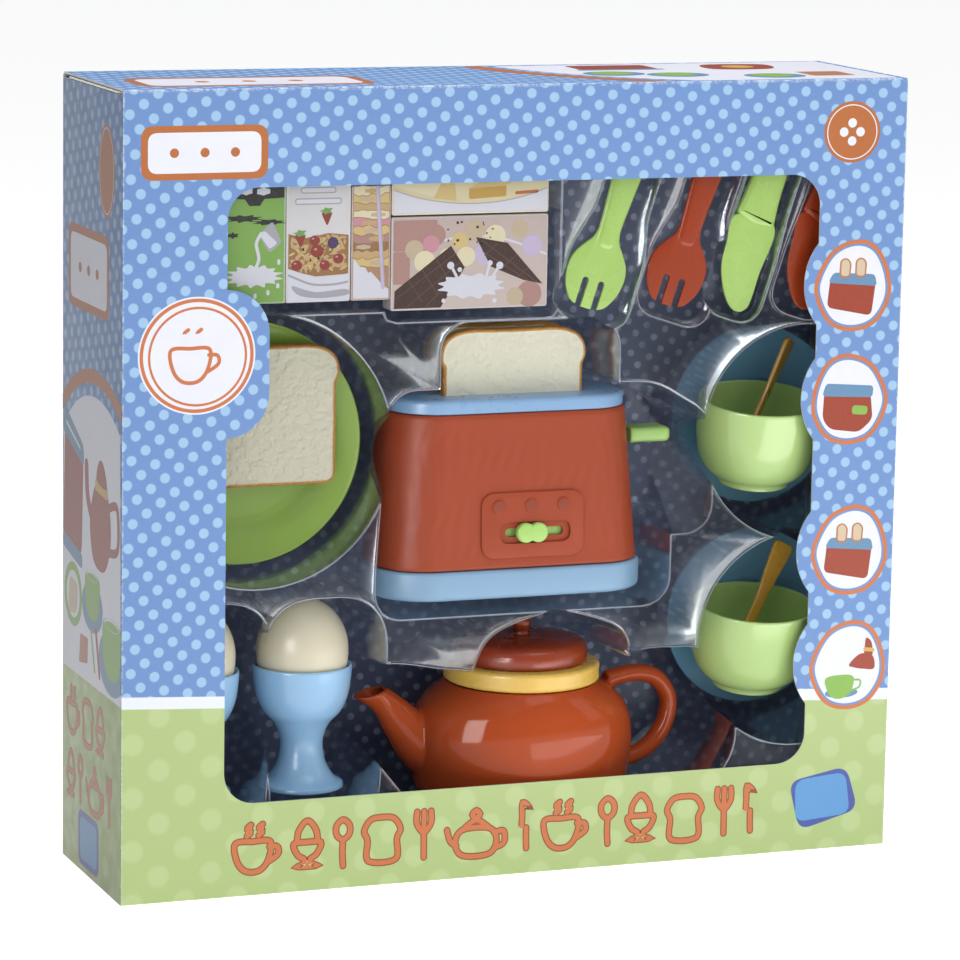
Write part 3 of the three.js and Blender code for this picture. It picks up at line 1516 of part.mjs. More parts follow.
function forkSolid() {
  const half = cutlery.headWidth / 2;
  const neck = cutlery.neckWidth / 2;
  const neckHeight = cutlery.headLength + cutlery.shoulder;
  const head = forkHeadShares.map(([x, z]) => [x * half, z * cutlery.headLength]);
  const corners = [
    ...head,
    ...handleOutline(neck, neckHeight, cutlery.endWidth / 2),
    ...head.map(([x, z]) => [-x, z]).reverse(),
  ];
  const outline = new THREE.Shape(roundedPolygon(corners, cutlery.headCorner));
  const body = solidOf(slab(outline, 0, cutlery.thickness, cutlery.edge));
  const pitch = (cutlery.headWidth + cutlery.tineGap) / 3;
  const slots = [-1, 1].map((side) => {
    const x = (side * pitch) / 2;
    const halfGap = cutlery.tineGap / 2;
    const hole = rectangleCorners(x - halfGap, -overrun, x + halfGap, cutlery.tineLength);
    const shape = new THREE.Shape(roundedPolygon(hole, halfGap));
    return slab(shape, -overrun, cutlery.thickness + overrun);
  });
  return cutFrom(body, ...slots);
}

function knifeSolid() {
  const { thickness, handleThickness, edge } = cutlery;
  const half = cutlery.bladeWidth / 2;
  const grip = cutlery.knifeHandleWidth / 2;
  const join = cutlery.bladeLength;
  const blade = [
    [half - cutlery.bladeTip, 0],
    [half, cutlery.bladeTip],
    [half, join],
    [-half, join],
    [-half, cutlery.bladeRise],
  ];
  const flat = slab(new THREE.Shape(roundedPolygon(blade, cutlery.headCorner)), 0, thickness, edge);
  const handle = roundedPolygon(rectangleCorners(-grip, join - edge, grip, cutlery.length), edge * 3);
  const thick = slab(new THREE.Shape(handle), 0, handleThickness, edge);
  const end = roundedPolygon(rectangleCorners(-grip, join, grip, cutlery.length), cutlery.handleCorner);
  const round = slab(new THREE.Shape(end), -overrun, handleThickness + overrun);
  const lower = block([-half, -overrun, -overrun], [half, 2 * overrun, join + cutlery.handleCorner]);
  return joined(flat, thick).intersect(joined(round, lower));
}

function addCutlery() {
  const pieces = [
    ["fork_green", forkSolid, finish.green, tipOffsets.forkGreen],
    ["fork_red", forkSolid, finish.redCutlery, tipOffsets.forkRed],
    ["knife_green", knifeSolid, finish.green, tipOffsets.knifeGreen],
    ["knife_red", knifeSolid, finish.redCutlery, tipOffsets.knifeRed],
  ];
  for (const [name, shape, material, offset] of pieces) {
    const piece = addPiece(name, shape(), material());
    piece.rotation.y = tilt;
    const thickest = shape === knifeSolid ? cutlery.handleThickness : cutlery.thickness;
    const y = cutleryY + cutlery.handleThickness - thickest;
    const drop = shape === knifeSolid ? cutlery.knifeDrop : 0;
    piece.position.set(foodRight + offset, y, cutleryBottom - drop);
  }
}

// Food packets
function packet(packetWidth, packetDepth, packetHeight) {
  const corners = rectangleCorners(0, 0, packetWidth, packetHeight);
  const outline = new THREE.Shape(roundedPolygon(corners, food.corner, 1));
  return slab(outline, 0, packetDepth, food.corner / 2);
}

function milkCarton() {
  const { milkWidth, milkDepth, milkHeight, gableHeight, finHeight, finThickness } = food;
  const half = finThickness / 2;
  const middle = milkDepth / 2;
  const side = new THREE.Shape();
  side.moveTo(0, 0);
  side.lineTo(milkDepth, 0);
  side.lineTo(milkDepth, milkHeight);
  side.lineTo(middle + half, milkHeight + gableHeight);
  side.lineTo(middle + half, milkHeight + gableHeight + finHeight);
  side.lineTo(middle - half, milkHeight + gableHeight + finHeight);
  side.lineTo(middle - half, milkHeight + gableHeight);
  side.lineTo(0, milkHeight);
  const body = new THREE.ExtrudeGeometry(side, { depth: milkWidth, bevelEnabled: false });
  return body.rotateY(Math.PI / 2).rotateX(Math.PI / 2);
}

function addFood() {
  const cereal = packet(food.cerealWidth, food.cerealDepth, food.cerealHeight);
  const cookies = packet(food.cookieWidth, food.cookieDepth, food.cookieHeight);
  const chocolate = packet(food.chocolateWidth, food.chocolateDepth, food.chocolateHeight);
  const butter = packet(food.butterWidth, food.butterDepth, food.butterHeight);
  const seats = [
    ["milk_carton", milkCarton(), foodLeft, foodBottom, 0xe9ece4],
    ["cereal_box", cereal, cerealLeft, foodBottom, 0xe9e6da],
    ["cookie_box", cookies, cookieLeft, foodBottom, 0xd9a878],
    ["chocolate_box", chocolate, chocolateLeft, chocolateBottom, 0xe3b7a0],
    ["butter_box", butter, chocolateLeft, butterBottom, 0xe8d79a],
  ];
  for (const [name, shape, x, z, color] of seats) {
    const piece = addPiece(name, shape, moulded(color, 0.55));
    piece.position.set(x, foodY, z);
  }
}

addCarton();
addBackingCard();
addPiece("blister_tray", blisterTray(), finish.clearSheet());
addFood();
addCutlery();
addPlates();
addEggCups();
addToaster();
addTeapot();
addCups();

export default set;
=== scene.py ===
import random
from math import acos, asin, atan, atan2, copysign, cos, degrees, dist, pi, radians, sin, sqrt

import bmesh
import bpy
import numpy as np
from mathutils import Matrix, Vector
from mathutils.geometry import tessellate_polygon


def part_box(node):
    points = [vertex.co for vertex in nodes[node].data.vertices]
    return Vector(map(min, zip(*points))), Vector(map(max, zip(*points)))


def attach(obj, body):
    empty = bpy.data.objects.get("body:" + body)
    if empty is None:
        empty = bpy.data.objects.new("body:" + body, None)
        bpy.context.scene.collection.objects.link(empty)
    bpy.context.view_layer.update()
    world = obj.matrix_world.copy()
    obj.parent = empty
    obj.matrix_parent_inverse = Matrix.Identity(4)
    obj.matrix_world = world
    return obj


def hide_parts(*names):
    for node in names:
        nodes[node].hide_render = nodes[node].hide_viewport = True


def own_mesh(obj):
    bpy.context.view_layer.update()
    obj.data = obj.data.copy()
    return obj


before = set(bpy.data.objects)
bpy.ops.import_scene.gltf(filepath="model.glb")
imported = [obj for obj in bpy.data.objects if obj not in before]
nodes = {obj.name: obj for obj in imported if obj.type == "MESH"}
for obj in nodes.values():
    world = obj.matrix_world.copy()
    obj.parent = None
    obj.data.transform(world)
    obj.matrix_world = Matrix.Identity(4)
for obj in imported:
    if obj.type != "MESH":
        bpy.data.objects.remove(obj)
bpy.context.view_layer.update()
mm = 0.001  # everything below is drawn in millimetres
print("frame loaded")

view = {
    "azimuth": 20.8946,
    "elevation": 9.9589,
    "roll": 0.97644,
    "place": (-736.361, -1924.577, 539.242),
    "lens": 167.69,
    "sensor": 36,
}


def addCamera():
    azimuth, elevation, roll = (radians(view[key]) for key in ("azimuth", "elevation", "roll"))
    level = cos(elevation)
    forward = Vector((sin(azimuth) * level, cos(azimuth) * level, -sin(elevation)))
    right = forward.cross(Vector((0, 0, 1))).normalized()
    up = right.cross(forward)
    leaningRight = right * cos(roll) + up * sin(roll)
    leaningUp = up * cos(roll) - right * sin(roll)
    data = bpy.data.cameras.new("photo_camera")
    data.lens = view["lens"]
    data.sensor_width = view["sensor"]
    data.clip_end = 60
    camera = bpy.data.objects.new("photo_camera", data)
    bpy.context.scene.collection.objects.link(camera)
    turn = Matrix((leaningRight, leaningUp, -forward)).transposed().to_4x4()
    camera.matrix_world = Matrix.Translation(Vector(view["place"]) * mm) @ turn
    bpy.context.scene.camera = camera


addCamera()


# Outlines: lists of points in millimetres, turning to the left


def circle(x, z, radius, steps=64, tall=None):
    rise = radius if tall is None else tall
    angles = [2 * pi * i / steps for i in range(steps)]
    return [(x + radius * cos(a), z + rise * sin(a)) for a in angles]


def arc(x, z, radius, start, end, steps=16):
    angles = [radians(start + (end - start) * i / steps) for i in range(steps + 1)]
    return [(x + radius * cos(a), z + radius * sin(a)) for a in angles]


# A corner may carry its own radius as a third number
def roundedPolygon(corners, radius, steps=8):
    points = []
    for i, place in enumerate(corners):
        own = place[2] if len(place) > 2 else radius
        corner = Vector(place[:2])
        before = Vector(corners[i - 1][:2])
        after = Vector(corners[(i + 1) % len(corners)][:2])
        reach = min(own, (before - corner).length / 2, (after - corner).length / 2)
        start = corner + (before - corner).normalized() * reach
        end = corner + (after - corner).normalized() * reach
        for step in range(steps + 1):
            t = step / steps
            points.append(start * (1 - t) ** 2 + corner * (2 * t * (1 - t)) + end * t * t)
    kept = [p for i, p in enumerate(points) if (p - points[i - 1]).length > 0.01]
    return [tuple(p) for p in kept]


def rectangle(x0, z0, x1, z1, radius=0, steps=8):
    corners = [(x0, z0), (x1, z0), (x1, z1), (x0, z1)]
    return roundedPolygon(corners, radius, steps) if radius else corners


def plan(width, depth, radius, steps=12):
    points = []
    for sideX, sideY, start in ((1, -1, -90), (1, 1, 0), (-1, 1, 90), (-1, -1, 180)):
        middle = (sideX * (width / 2 - radius), sideY * (depth / 2 - radius))
        points += arc(*middle, radius, start, start + 90, steps)
    return points


def smoothLine(points, perSpan=8, closed=False):
    line = [Vector(p) for p in points]
    count = len(line)
    curve = []
    for i in range(count if closed else count - 1):
        picks = [i + k for k in (-1, 0, 1, 2)]
        picks = [k % count if closed else min(max(k, 0), count - 1) for k in picks]
        a, b, c, d = (line[k] for k in picks)
        for step in range(perSpan):
            t = step / perSpan
            part = b * 2 + (c - a) * t + (a * 2 - b * 5 + c * 4 - d) * t**2 + (b * 3 - a - c * 3 + d) * t**3
            curve.append(part / 2)
    if not closed:
        curve.append(line[-1])
    return [tuple(p) for p in curve]


# The same line with its points at even distances
def evenly(points, spacing, closed=True):
    line = np.array(points + points[:1] if closed else points, float)
    lengths = np.concatenate([[0], np.cumsum(np.linalg.norm(np.diff(line, axis=0), axis=1))])
    count = max(8, int(round(lengths[-1] / spacing)))
    at = np.linspace(0, lengths[-1], count + 1)
    even = np.stack([np.interp(at, lengths, line[:, axis]) for axis in range(line.shape[1])], 1)
    return [tuple(p) for p in (even[:-1] if closed else even)]


def withoutRepeats(outline):
    return [p for i, p in enumerate(outline) if dist(p, outline[i - 1]) > 0.02]


# The angles of a quarter turn
def quarter(steps):
    return [pi / 2 * i / steps for i in range(steps + 1)]


# The outline moved outwards by a distance, or inwards where it is negative
def grown(outline, distance):
    points = np.array(outline, float)
    into = points - np.roll(points, 1, axis=0)
    out = np.roll(points, -1, axis=0) - points
    into /= np.linalg.norm(into, axis=1)[:, None]
    out /= np.linalg.norm(out, axis=1)[:, None]
    normal = np.stack([into[:, 1] + out[:, 1], -into[:, 0] - out[:, 0]], 1)
    normal /= np.linalg.norm(normal, axis=1)[:, None]
    stretch = np.maximum(normal[:, 0] * into[:, 1] - normal[:, 1] * into[:, 0], 0.5)
    return [tuple(p) for p in points + normal * (distance / stretch)[:, None]]


# Meshes


def addMesh(name, points, faces, angle=35):
    data = bpy.data.meshes.new(name)
    data.from_pydata([Vector(p) * mm for p in points], [], faces)
    work = bmesh.new()
    work.from_mesh(data)
    bmesh.ops.remove_doubles(work, verts=work.verts, dist=0.001 * mm)
    bmesh.ops.recalc_face_normals(work, faces=work.faces)
    work.to_mesh(data)
    work.free()
    piece = bpy.data.objects.new(name, data)
    bpy.context.scene.collection.objects.link(piece)
    return shaded(piece, angle)


def shaded(piece, angle=35):
    piece.data.polygons.foreach_set("use_smooth", [True] * len(piece.data.polygons))
    piece.data.set_sharp_from_angle(angle=radians(angle))
    return piece


def loft(name, rings, angle=35):
    count = len(rings[0])
    faces = []
    for ring in range(len(rings) - 1):
        for i in range(count):
            a, b = ring * count + i, ring * count + (i + 1) % count
            faces.append((a, b, b + count, a + count))
    last = (len(rings) - 1) * count
    faces.append(tuple(range(count - 1, -1, -1)))
    faces.append(tuple(range(last, last + count)))
    return addMesh(name, [point for ring in rings for point in ring], faces, angle)


def stacked(name, levels):
    return loft(name, [[(x, y, z) for x, y in outline] for outline, z in levels])


def turned(name, profile, steps=128, angle=35):
    points, faces, rings = [], [], []
    for radius, z in profile:
        count = steps if radius > 0.001 else 1
        rings.append((len(points), count))
        for i in range(count):
            a = 2 * pi * i / steps
            points.append((radius * cos(a), radius * sin(a), z))
    for (a, countA), (b, countB) in zip(rings, rings[1:]):
        for i in range(steps):
            j = (i + 1) % steps
            face = [a + i % countA, a + j % countA, b + j % countB, b + i % countB]
            face = list(dict.fromkeys(face))
            if len(face) > 2:
                faces.append(face)
    return addMesh(name, points, faces, angle)


# An outline in X and Z between two depths, with rounded edges
def slab(name, outline, yFront, yBack, edge=0, steps=4):
    levels = [(yFront, 0), (yBack, 0)]
    if edge:
        front = [(yFront + edge * (1 - cos(a)), edge * (1 - sin(a))) for a in quarter(steps)]
        levels = front + [(yFront + yBack - y, inset) for y, inset in reversed(front)]
    rings = []
    for y, inset in levels:
        points = grown(outline, -inset) if inset > 0.001 else outline
        rings.append([(x, y, z) for x, z in points])
    return loft(name, rings)


def block(name, low, high):
    outline = [(low[0], low[1]), (high[0], low[1]), (high[0], high[1]), (low[0], high[1])]
    return stacked(name, [(outline, low[2]), (outline, high[2])])


# A bent bar in the XZ plane; middles are (x, z, radius, radius along Y, direction in radians)
def bentBar(name, middles, sides):
    rings = []
    for x, z, radius, deep, turn in middles:
        ring = []
        for i in range(sides):
            a = 2 * pi * i / sides
            across = radius * cos(a)
            ring.append((x - sin(turn) * across, deep * sin(a), z + cos(turn) * across))
        rings.append(ring)
    return loft(name, rings, 60)


def bentRod(name, points, radius, deep, perSpan, sides):
    line = smoothLine(points, perSpan)
    middles = []
    for i, (x, z) in enumerate(line):
        before, after = line[max(i - 1, 0)], line[min(i + 1, len(line) - 1)]
        middles.append((x, z, radius, deep, atan2(after[1] - before[1], after[0] - before[0])))
    return bentBar(name, middles, sides)


def applied(piece):
    graph = bpy.context.evaluated_depsgraph_get()
    data = bpy.data.meshes.new_from_object(piece.evaluated_get(graph))
    piece.modifiers.clear()
    piece.data = data
    return piece


def combined(piece, tools, operation, angle=35):
    for tool in tools:
        step = piece.modifiers.new(tool.name, "BOOLEAN")
        step.solver = "MANIFOLD"
        step.operation = operation
        step.object = tool
    applied(piece)
    for tool in tools:
        bpy.data.objects.remove(tool)
    return shaded(piece, angle)


def cut(piece, *tools, angle=35):
    return combined(piece, tools, "DIFFERENCE", angle)


def joined(piece, *tools, angle=35):
    return combined(piece, tools, "UNION", angle)


def remeshed(piece, voxel, smoothing):
    step = piece.modifiers.new("even", "REMESH")
    step.mode = "VOXEL"
    step.voxel_size = voxel * mm
    step = piece.modifiers.new("smooth", "SMOOTH")
    step.factor = 0.5
    step.iterations = smoothing
    return shaded(applied(piece), 180)


def placed(piece, offset=(0, 0, 0), turn=None):
    matrix = Matrix.Translation(Vector(offset) * mm)
    piece.data.transform(matrix @ turn if turn else matrix)
    return piece


def placesOf(piece):
    flat = np.empty(len(piece.data.vertices) * 3)
    piece.data.vertices.foreach_get("co", flat)
    return flat.reshape(-1, 3) / mm


def setPlaces(piece, places):
    piece.data.vertices.foreach_set("co", (places * mm).ravel())
    piece.data.update()


def box(node):
    low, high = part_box(node)
    return low / mm, high / mm


def middleOf(node):
    low, high = box(node)
    return (low + high) / 2


# The middle of a node's underside
def footOf(node, rise=0):
    low, high = box(node)
    return ((low.x + high.x) / 2, (low.y + high.y) / 2, low.z + rise)


def dress(piece, body, replaced, slotName, *materials):
    piece.data.materials.clear()
    piece.data.polygons.foreach_set("material_index", [0] * len(piece.data.polygons))
    for material in materials:
        piece.data.materials.append(material)
    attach(piece, body)
    if replaced:
        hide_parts(*replaced)


def repaint(node, material):
    for slot in nodes[node].material_slots:
        slot.material = material


# Materials


def ink(red, green, blue):
    channels = [value / 255 for value in (red, green, blue)]
    linear = [c / 12.92 if c <= 0.04045 else ((c + 0.055) / 1.055) ** 2.4 for c in channels]
    return linear + [1]


def newMaterial(name):
    material = bpy.data.materials.new(name)
    material.use_nodes = True
    tree = material.node_tree
    return material, tree, tree.nodes["Principled BSDF"], millimetres(tree)


def feed(tree, socket, value):
    if isinstance(value, bpy.types.NodeSocket):
        tree.links.new(value, socket)
    else:
        socket.default_value = value


def maths(tree, operation, *values, clamp=False):
    node = tree.nodes.new("ShaderNodeMath")
    node.operation = operation
    node.use_clamp = clamp
    for socket, value in zip(node.inputs, values):
        feed(tree, socket, value)
    return node.outputs[0]


def ranged(tree, value, low, high, start=0.0, end=1.0):
    node = tree.nodes.new("ShaderNodeMapRange")
    for socket, number in zip(node.inputs, (value, low, high, start, end)):
        feed(tree, socket, number)
    return node.outputs[0]


def mixed(tree, share, first, second, blend="MIX"):
    node = tree.nodes.new("ShaderNodeMix")
    node.data_type = "RGBA"
    node.blend_type = blend
    feed(tree, node.inputs[0], share)
    feed(tree, node.inputs[6], first)
    feed(tree, node.inputs[7], second)
    return node.outputs[2]


# The frame's own millimetres, which move with the body that the piece rides on
def millimetres(tree, stretch=(1, 1, 1)):
    coordinates = tree.nodes.new("ShaderNodeTexCoord")
    mapping = tree.nodes.new("ShaderNodeMapping")
    mapping.inputs["Scale"].default_value = [share / mm for share in stretch]
    tree.links.new(coordinates.outputs["Object"], mapping.inputs["Vector"])
    return mapping.outputs[0]


def noise(tree, place, size, detail=2.0, roughness=0.5):
    node = tree.nodes.new("ShaderNodeTexNoise")
    tree.links.new(place, node.inputs["Vector"])
    node.inputs["Scale"].default_value = 1 / size
    node.inputs["Detail"].default_value = detail
    node.inputs["Roughness"].default_value = roughness
    return node.outputs[0]


def bumped(tree, shader, height, depth):
    node = tree.nodes.new("ShaderNodeBump")
    node.inputs["Distance"].default_value = depth * mm
    feed(tree, node.inputs["Height"], height)
    tree.links.new(node.outputs[0], shader.inputs["Normal"])


def axes(tree, place):
    node = tree.nodes.new("ShaderNodeSeparateXYZ")
    tree.links.new(place, node.inputs[0])
    return node.outputs


def finished(tree, shader, colour, roughness, specular=0.5):
    feed(tree, shader.inputs["Base Color"], colour)
    feed(tree, shader.inputs["Roughness"], roughness)
    shader.inputs["Specular IOR Level"].default_value = specular


def shade(colour, share):
    return [max(0.0, min(1.0, c * share)) for c in colour[:3]] + [1]


# Moulded plastic: cloudy colour, fine specks, a sheen that wanders, and a skin that is never quite flat
def plastic(name, colour, roughness=0.35, cloud=0.05, grain=0.6, skin=0.012, wave=0.05, specular=0.5):
    material, tree, shader, place = newMaterial(name)
    clouds = noise(tree, place, 24, 3)
    specks = noise(tree, place, grain, 2)
    base = mixed(tree, clouds, shade(colour, 1 - cloud), shade(colour, 1 + cloud))
    base = mixed(tree, ranged(tree, specks, 0.62, 0.8, 0, 0.12), base, shade(colour, 0.7))
    sheen = ranged(tree, noise(tree, place, 9, 3), 0.3, 0.7, roughness - 0.05, roughness + 0.07)
    finished(tree, shader, base, sheen, specular)
    waves = maths(tree, "MULTIPLY", noise(tree, place, 16, 1), wave / skin)
    bumped(tree, shader, maths(tree, "ADD", specks, waves), skin)
    return material


print("helpers ready")

# Carton

carton = {
    "inset": 0.12,  # printed faces lie this far inside the CAD faces, which leaves room for the print
    "board": 0.8,
    "crease": 0.9,
    "margins": (48.5, 43.5, 44, 43),  # left, right, top and bottom of the window
    "windowCorner": 14.5,
    "tabReach": 19.8,
    "tab": (211, 277.6),
    "bumps": (90.6, 144.7, 217.5, 271.6),
    "bumpRadius": 30,
    "bumpReach": 6.9,
    "tongue": (186.2, 12, 45.8),  # half its width, its corner radius and its front face
    "blue": ink(105, 140, 194),
    "paleBlue": ink(161, 197, 226),
    "green": ink(171, 190, 126),
    "paleGreen": ink(186, 203, 145),
    "dots": (7.9, 2.3, 35),  # pitch, radius and turn
    "largeDots": (17.4, 5.1, 45, 0.9),  # and how soft their edges are
    "stripe": 5.2,  # white, between the green and the blue
    "band": (90.6, 71),  # top of the green on the front, at its left and its right edge
    "gloss": 0.38,
    "leftTone": 0.46,  # the left side prints darker, as little light reaches it
    "sideReach": 48.4,  # how far the side's print goes from its middle
    "artLayer": 0.018,  # thickness of one printed layer
}
top = box("carton_lid")[1].z
sleeveTop = box("carton_sleeve")[1]
halfWidth, halfDepth = sleeveTop.x, sleeveTop.y


def dots(tree, across, up, pitch, radius, turn, soft=0.25):
    turn = radians(turn)
    cells = []
    for a, b in ((cos(turn), sin(turn)), (-sin(turn), cos(turn))):
        line = maths(tree, "MULTIPLY_ADD", across, a / pitch, maths(tree, "MULTIPLY", up, b / pitch))
        cell = maths(tree, "SUBTRACT", maths(tree, "FRACT", line), 0.5)
        cells.append(maths(tree, "MULTIPLY", cell, cell))
    away = maths(tree, "MULTIPLY", maths(tree, "SQRT", maths(tree, "ADD", *cells)), pitch)
    return ranged(tree, away, radius - soft, radius + soft, 1, 0)


# The band gives the green's height at both ends and how far these are from the middle
def printedBoard(name, acrossAxis, upAxis, band, shadeShare=1):
    material, tree, shader, place = newMaterial(name)
    along = axes(tree, place)
    across, up = along[acrossAxis], along[upAxis]
    clouds = noise(tree, place, 60, 2)
    paper = noise(tree, place, 0.5, 3)
    blue = mixed(tree, clouds, shade(carton["blue"], 0.96), shade(carton["blue"], 1.05))
    small = dots(tree, across, up, *carton["dots"])
    colour = mixed(tree, maths(tree, "MULTIPLY", small, 0.86), blue, carton["paleBlue"])
    if band:
        left, right, half = band
        edge = maths(tree, "MULTIPLY_ADD", across, (right - left) / (2 * half), (left + right) / 2)
        above = maths(tree, "SUBTRACT", up, edge)
        large = dots(tree, across, up, *carton["largeDots"])
        green = mixed(tree, maths(tree, "MULTIPLY", large, 0.65), carton["green"], carton["paleGreen"])
        colour = mixed(tree, ranged(tree, above, -0.15, 0.15), green, colour)
        distance = maths(tree, "ABSOLUTE", maths(tree, "SUBTRACT", above, carton["stripe"] / 2))
        stripe = ranged(tree, distance, carton["stripe"] / 2, carton["stripe"] / 2 + 0.3, 1, 0)
        colour = mixed(tree, stripe, colour, ink(226, 230, 242))
    colour = mixed(tree, ranged(tree, paper, 0.55, 0.75, 0, 0.05), colour, ink(235, 238, 240))
    # Wear along the carton's edges, where the print has rubbed off, and a painted highlight where the folds
    # catch the light: both lighten the print there
    edges = [ranged(tree, along[2], top - 1.6, top - 0.5)] if upAxis == 2 else []
    for axis, half in ((0, halfWidth), (1, halfDepth)):
        if axis in (acrossAxis, upAxis):
            away = maths(tree, "SUBTRACT", half, maths(tree, "ABSOLUTE", along[axis]))
            edges.append(ranged(tree, away, 0.25, 1.3, 1, 0))
    wearAndHighlight = maths(tree, "MAXIMUM", *edges)
    patchy = ranged(tree, noise(tree, place, 1.6, 4, 0.7), 0.42, 0.68)
    worn = maths(tree, "MULTIPLY", maths(tree, "MULTIPLY", wearAndHighlight, patchy), 0.8)
    colour = mixed(tree, worn, colour, ink(226, 230, 236))
    # Painted shade: the whole print is darkened by this share where little light reaches the side
    colour = mixed(tree, 1.0, colour, [shadeShare] * 3 + [1], "MULTIPLY")
    sheen = ranged(tree, noise(tree, place, 7, 3), 0.3, 0.7, carton["gloss"] - 0.05, carton["gloss"] + 0.08)
    finished(tree, shader, colour, sheen, 0.4)
    waves = maths(tree, "MULTIPLY", noise(tree, place, 45, 1), 8)
    bumped(tree, shader, maths(tree, "ADD", waves, maths(tree, "MULTIPLY", paper, 0.25)), 0.05)
    return material


def bareBoard(name, colour, fibre=0.35):
    material, tree, shader, place = newMaterial(name)
    fibres = noise(tree, millimetres(tree, (0.25, 1, 1)), fibre, 3)
    clouds = noise(tree, place, 12, 4)
    base = mixed(tree, clouds, shade(colour, 0.9), shade(colour, 1.05))
    base = mixed(tree, ranged(tree, fibres, 0.55, 0.8, 0, 0.35), base, shade(colour, 0.72))
    finished(tree, shader, base, 0.75, 0.25)
    bumped(tree, shader, fibres, 0.03)
    return material


frontPrint = printedBoard("front_print", 0, 2, (*carton["band"], 190))
leftPrint = printedBoard("left_print", 1, 2, (91.3, 92, 49), carton["leftTone"])
rightPrint = printedBoard("right_print", 1, 2, (71, 71, 49))
backPrint = printedBoard("back_print", 0, 2, (*carton["band"], 190))
topPrint = printedBoard("top_print", 0, 1, None)
boardInside = bareBoard("board_inside", ink(214, 214, 210))
boardEdge = bareBoard("board_edge", ink(196, 194, 190), 0.2)


def windowOutline():
    leftMargin, rightMargin, topMargin, bottomMargin = carton["margins"]
    x0, x1 = leftMargin - halfWidth, halfWidth - rightMargin
    z0, z1 = bottomMargin, top - topMargin
    radius, tab, bump = carton["windowCorner"], carton["tabReach"], carton["bumpRadius"]
    outline = arc(x1 - radius, z0 + radius, radius, -90, 0)
    bumpX = x1 - carton["bumpReach"] + bump
    swing = degrees(acos((bumpX - x1) / bump))
    for z in carton["bumps"]:
        outline += arc(bumpX, z, bump, 180 + swing, 180 - swing, 28)
    outline += arc(x1 - radius, z1 - radius, radius, 0, 90)
    outline += arc(x0 + radius, z1 - radius, radius, 90, 180)
    low, high = carton["tab"]
    outline += arc(x0, high - tab, tab, 90, 0, 20)
    outline += arc(x0, low + tab, tab, 0, -90, 20)
    outline += arc(x0 + radius, z0 + radius, radius, 180, 270)
    return withoutRepeats(outline)


def addSleeve():
    inset, board = carton["inset"], carton["board"]
    wallTop = sleeveTop.z + 0.25
    outside = plan(2 * (halfWidth - inset), 2 * (halfDepth - inset), carton["crease"], 6)
    inside = plan(2 * (halfWidth - board), 2 * (halfDepth - board), 0.3, 3)
    sleeve = stacked("carton_board", [(outside, 0), (outside, wallTop)])
    hollow = stacked("hollow", [(inside, -4), (inside, top + 4)])
    sides = box("carton_dust_flap_left")[0].z - 0.3
    low = (-halfWidth - 4, board - halfDepth, sides)
    sideTops = block("side_tops", low, (halfWidth + 4, halfDepth - board, top + 4))
    opening = slab("opening", windowOutline(), -halfDepth - 4, board + 4 - halfDepth)
    cut(sleeve, hollow, sideTops, opening, angle=30)
    materials = (frontPrint, leftPrint, rightPrint, backPrint, boardInside, boardEdge)
    dress(sleeve, "package", ["carton_sleeve"], "printed_board", *materials)
    front, left, right, back, inner, edge = range(6)
    for face in sleeve.data.polygons:
        normal, place = face.normal, face.center / mm
        pastX, pastY = abs(place.x) - halfWidth, abs(place.y) - halfDepth
        inwards = normal.dot(Vector((place.x, place.y, 0))) < 0
        if abs(normal.z) > 0.5:
            kind = edge
        elif pastX > -0.6 and abs(normal.x) > abs(normal.y):
            kind = inner if inwards else left if place.x < 0 else right
        elif pastY > -0.6 and abs(normal.y) > 0.5:
            kind = inner if inwards else front if place.y < 0 else back
        elif pastX > -1 and abs(normal.x) > 0.5 or pastY > -1 and abs(normal.y) > 0.5:
            kind = inner
        else:
            kind = edge
        face.material_index = kind


addSleeve()


def addLid():
    low, high = box("carton_lid")
    board, fold = carton["board"], carton["board"] / 2
    hinge = (low.y + fold, high.z - fold)
    back = high.y
    section = arc(*hinge, fold, 270, 90, 12)
    section += [(back - 0.2, high.z), (back, high.z - 0.2), (back, high.z - board)]
    inset = carton["inset"] / 4
    ends = [[(x, y, z - inset) for y, z in section] for x in (low.x, high.x)]
    lid = loft("carton_top", ends)
    half, corner, depth = carton["tongue"]
    tongue = rectangle(-half, low.z, half, high.z - fold, corner, 10)
    joined(lid, slab("tongue", tongue, depth, depth + board), angle=40)
    dress(lid, "lid", ["carton_lid"], "printed_board", topPrint, frontPrint, boardInside, boardEdge)
    for face in lid.data.polygons:
        normal, place = face.normal, face.center / mm
        above = place.z > high.z - fold - 0.1 and normal.z > 0.3
        ahead = place.y < hinge[0] + 0.1 and normal.y < -0.3
        if not above and not ahead:
            face.material_index = 2 if normal.z < -0.5 or abs(normal.y) > 0.5 else 3


addLid()

flapBoard = bareBoard("flap_board", ink(216, 216, 213))
for side in ("left", "right"):
    repaint("carton_dust_flap_" + side, flapBoard)
    repaint("carton_bottom_dust_flap_" + side, flapBoard)
repaint("carton_bottom_lid", printedBoard("bottom_print", 0, 1, None))
print("carton built")

# Prints: flat shapes, each raised by a hair over the one below it


def onFront(across, up, lift):
    return (across, carton["inset"] - halfDepth - lift, up)


# What would reach past the side's edges is cut off there
def onLeft(across, up, lift):
    reach = carton["sideReach"]
    return (carton["inset"] - halfWidth - lift, max(-reach, min(reach, -across)), up)


def onTop(across, up, lift):
    return (across, up, top - carton["inset"] / 4 + lift / 4)


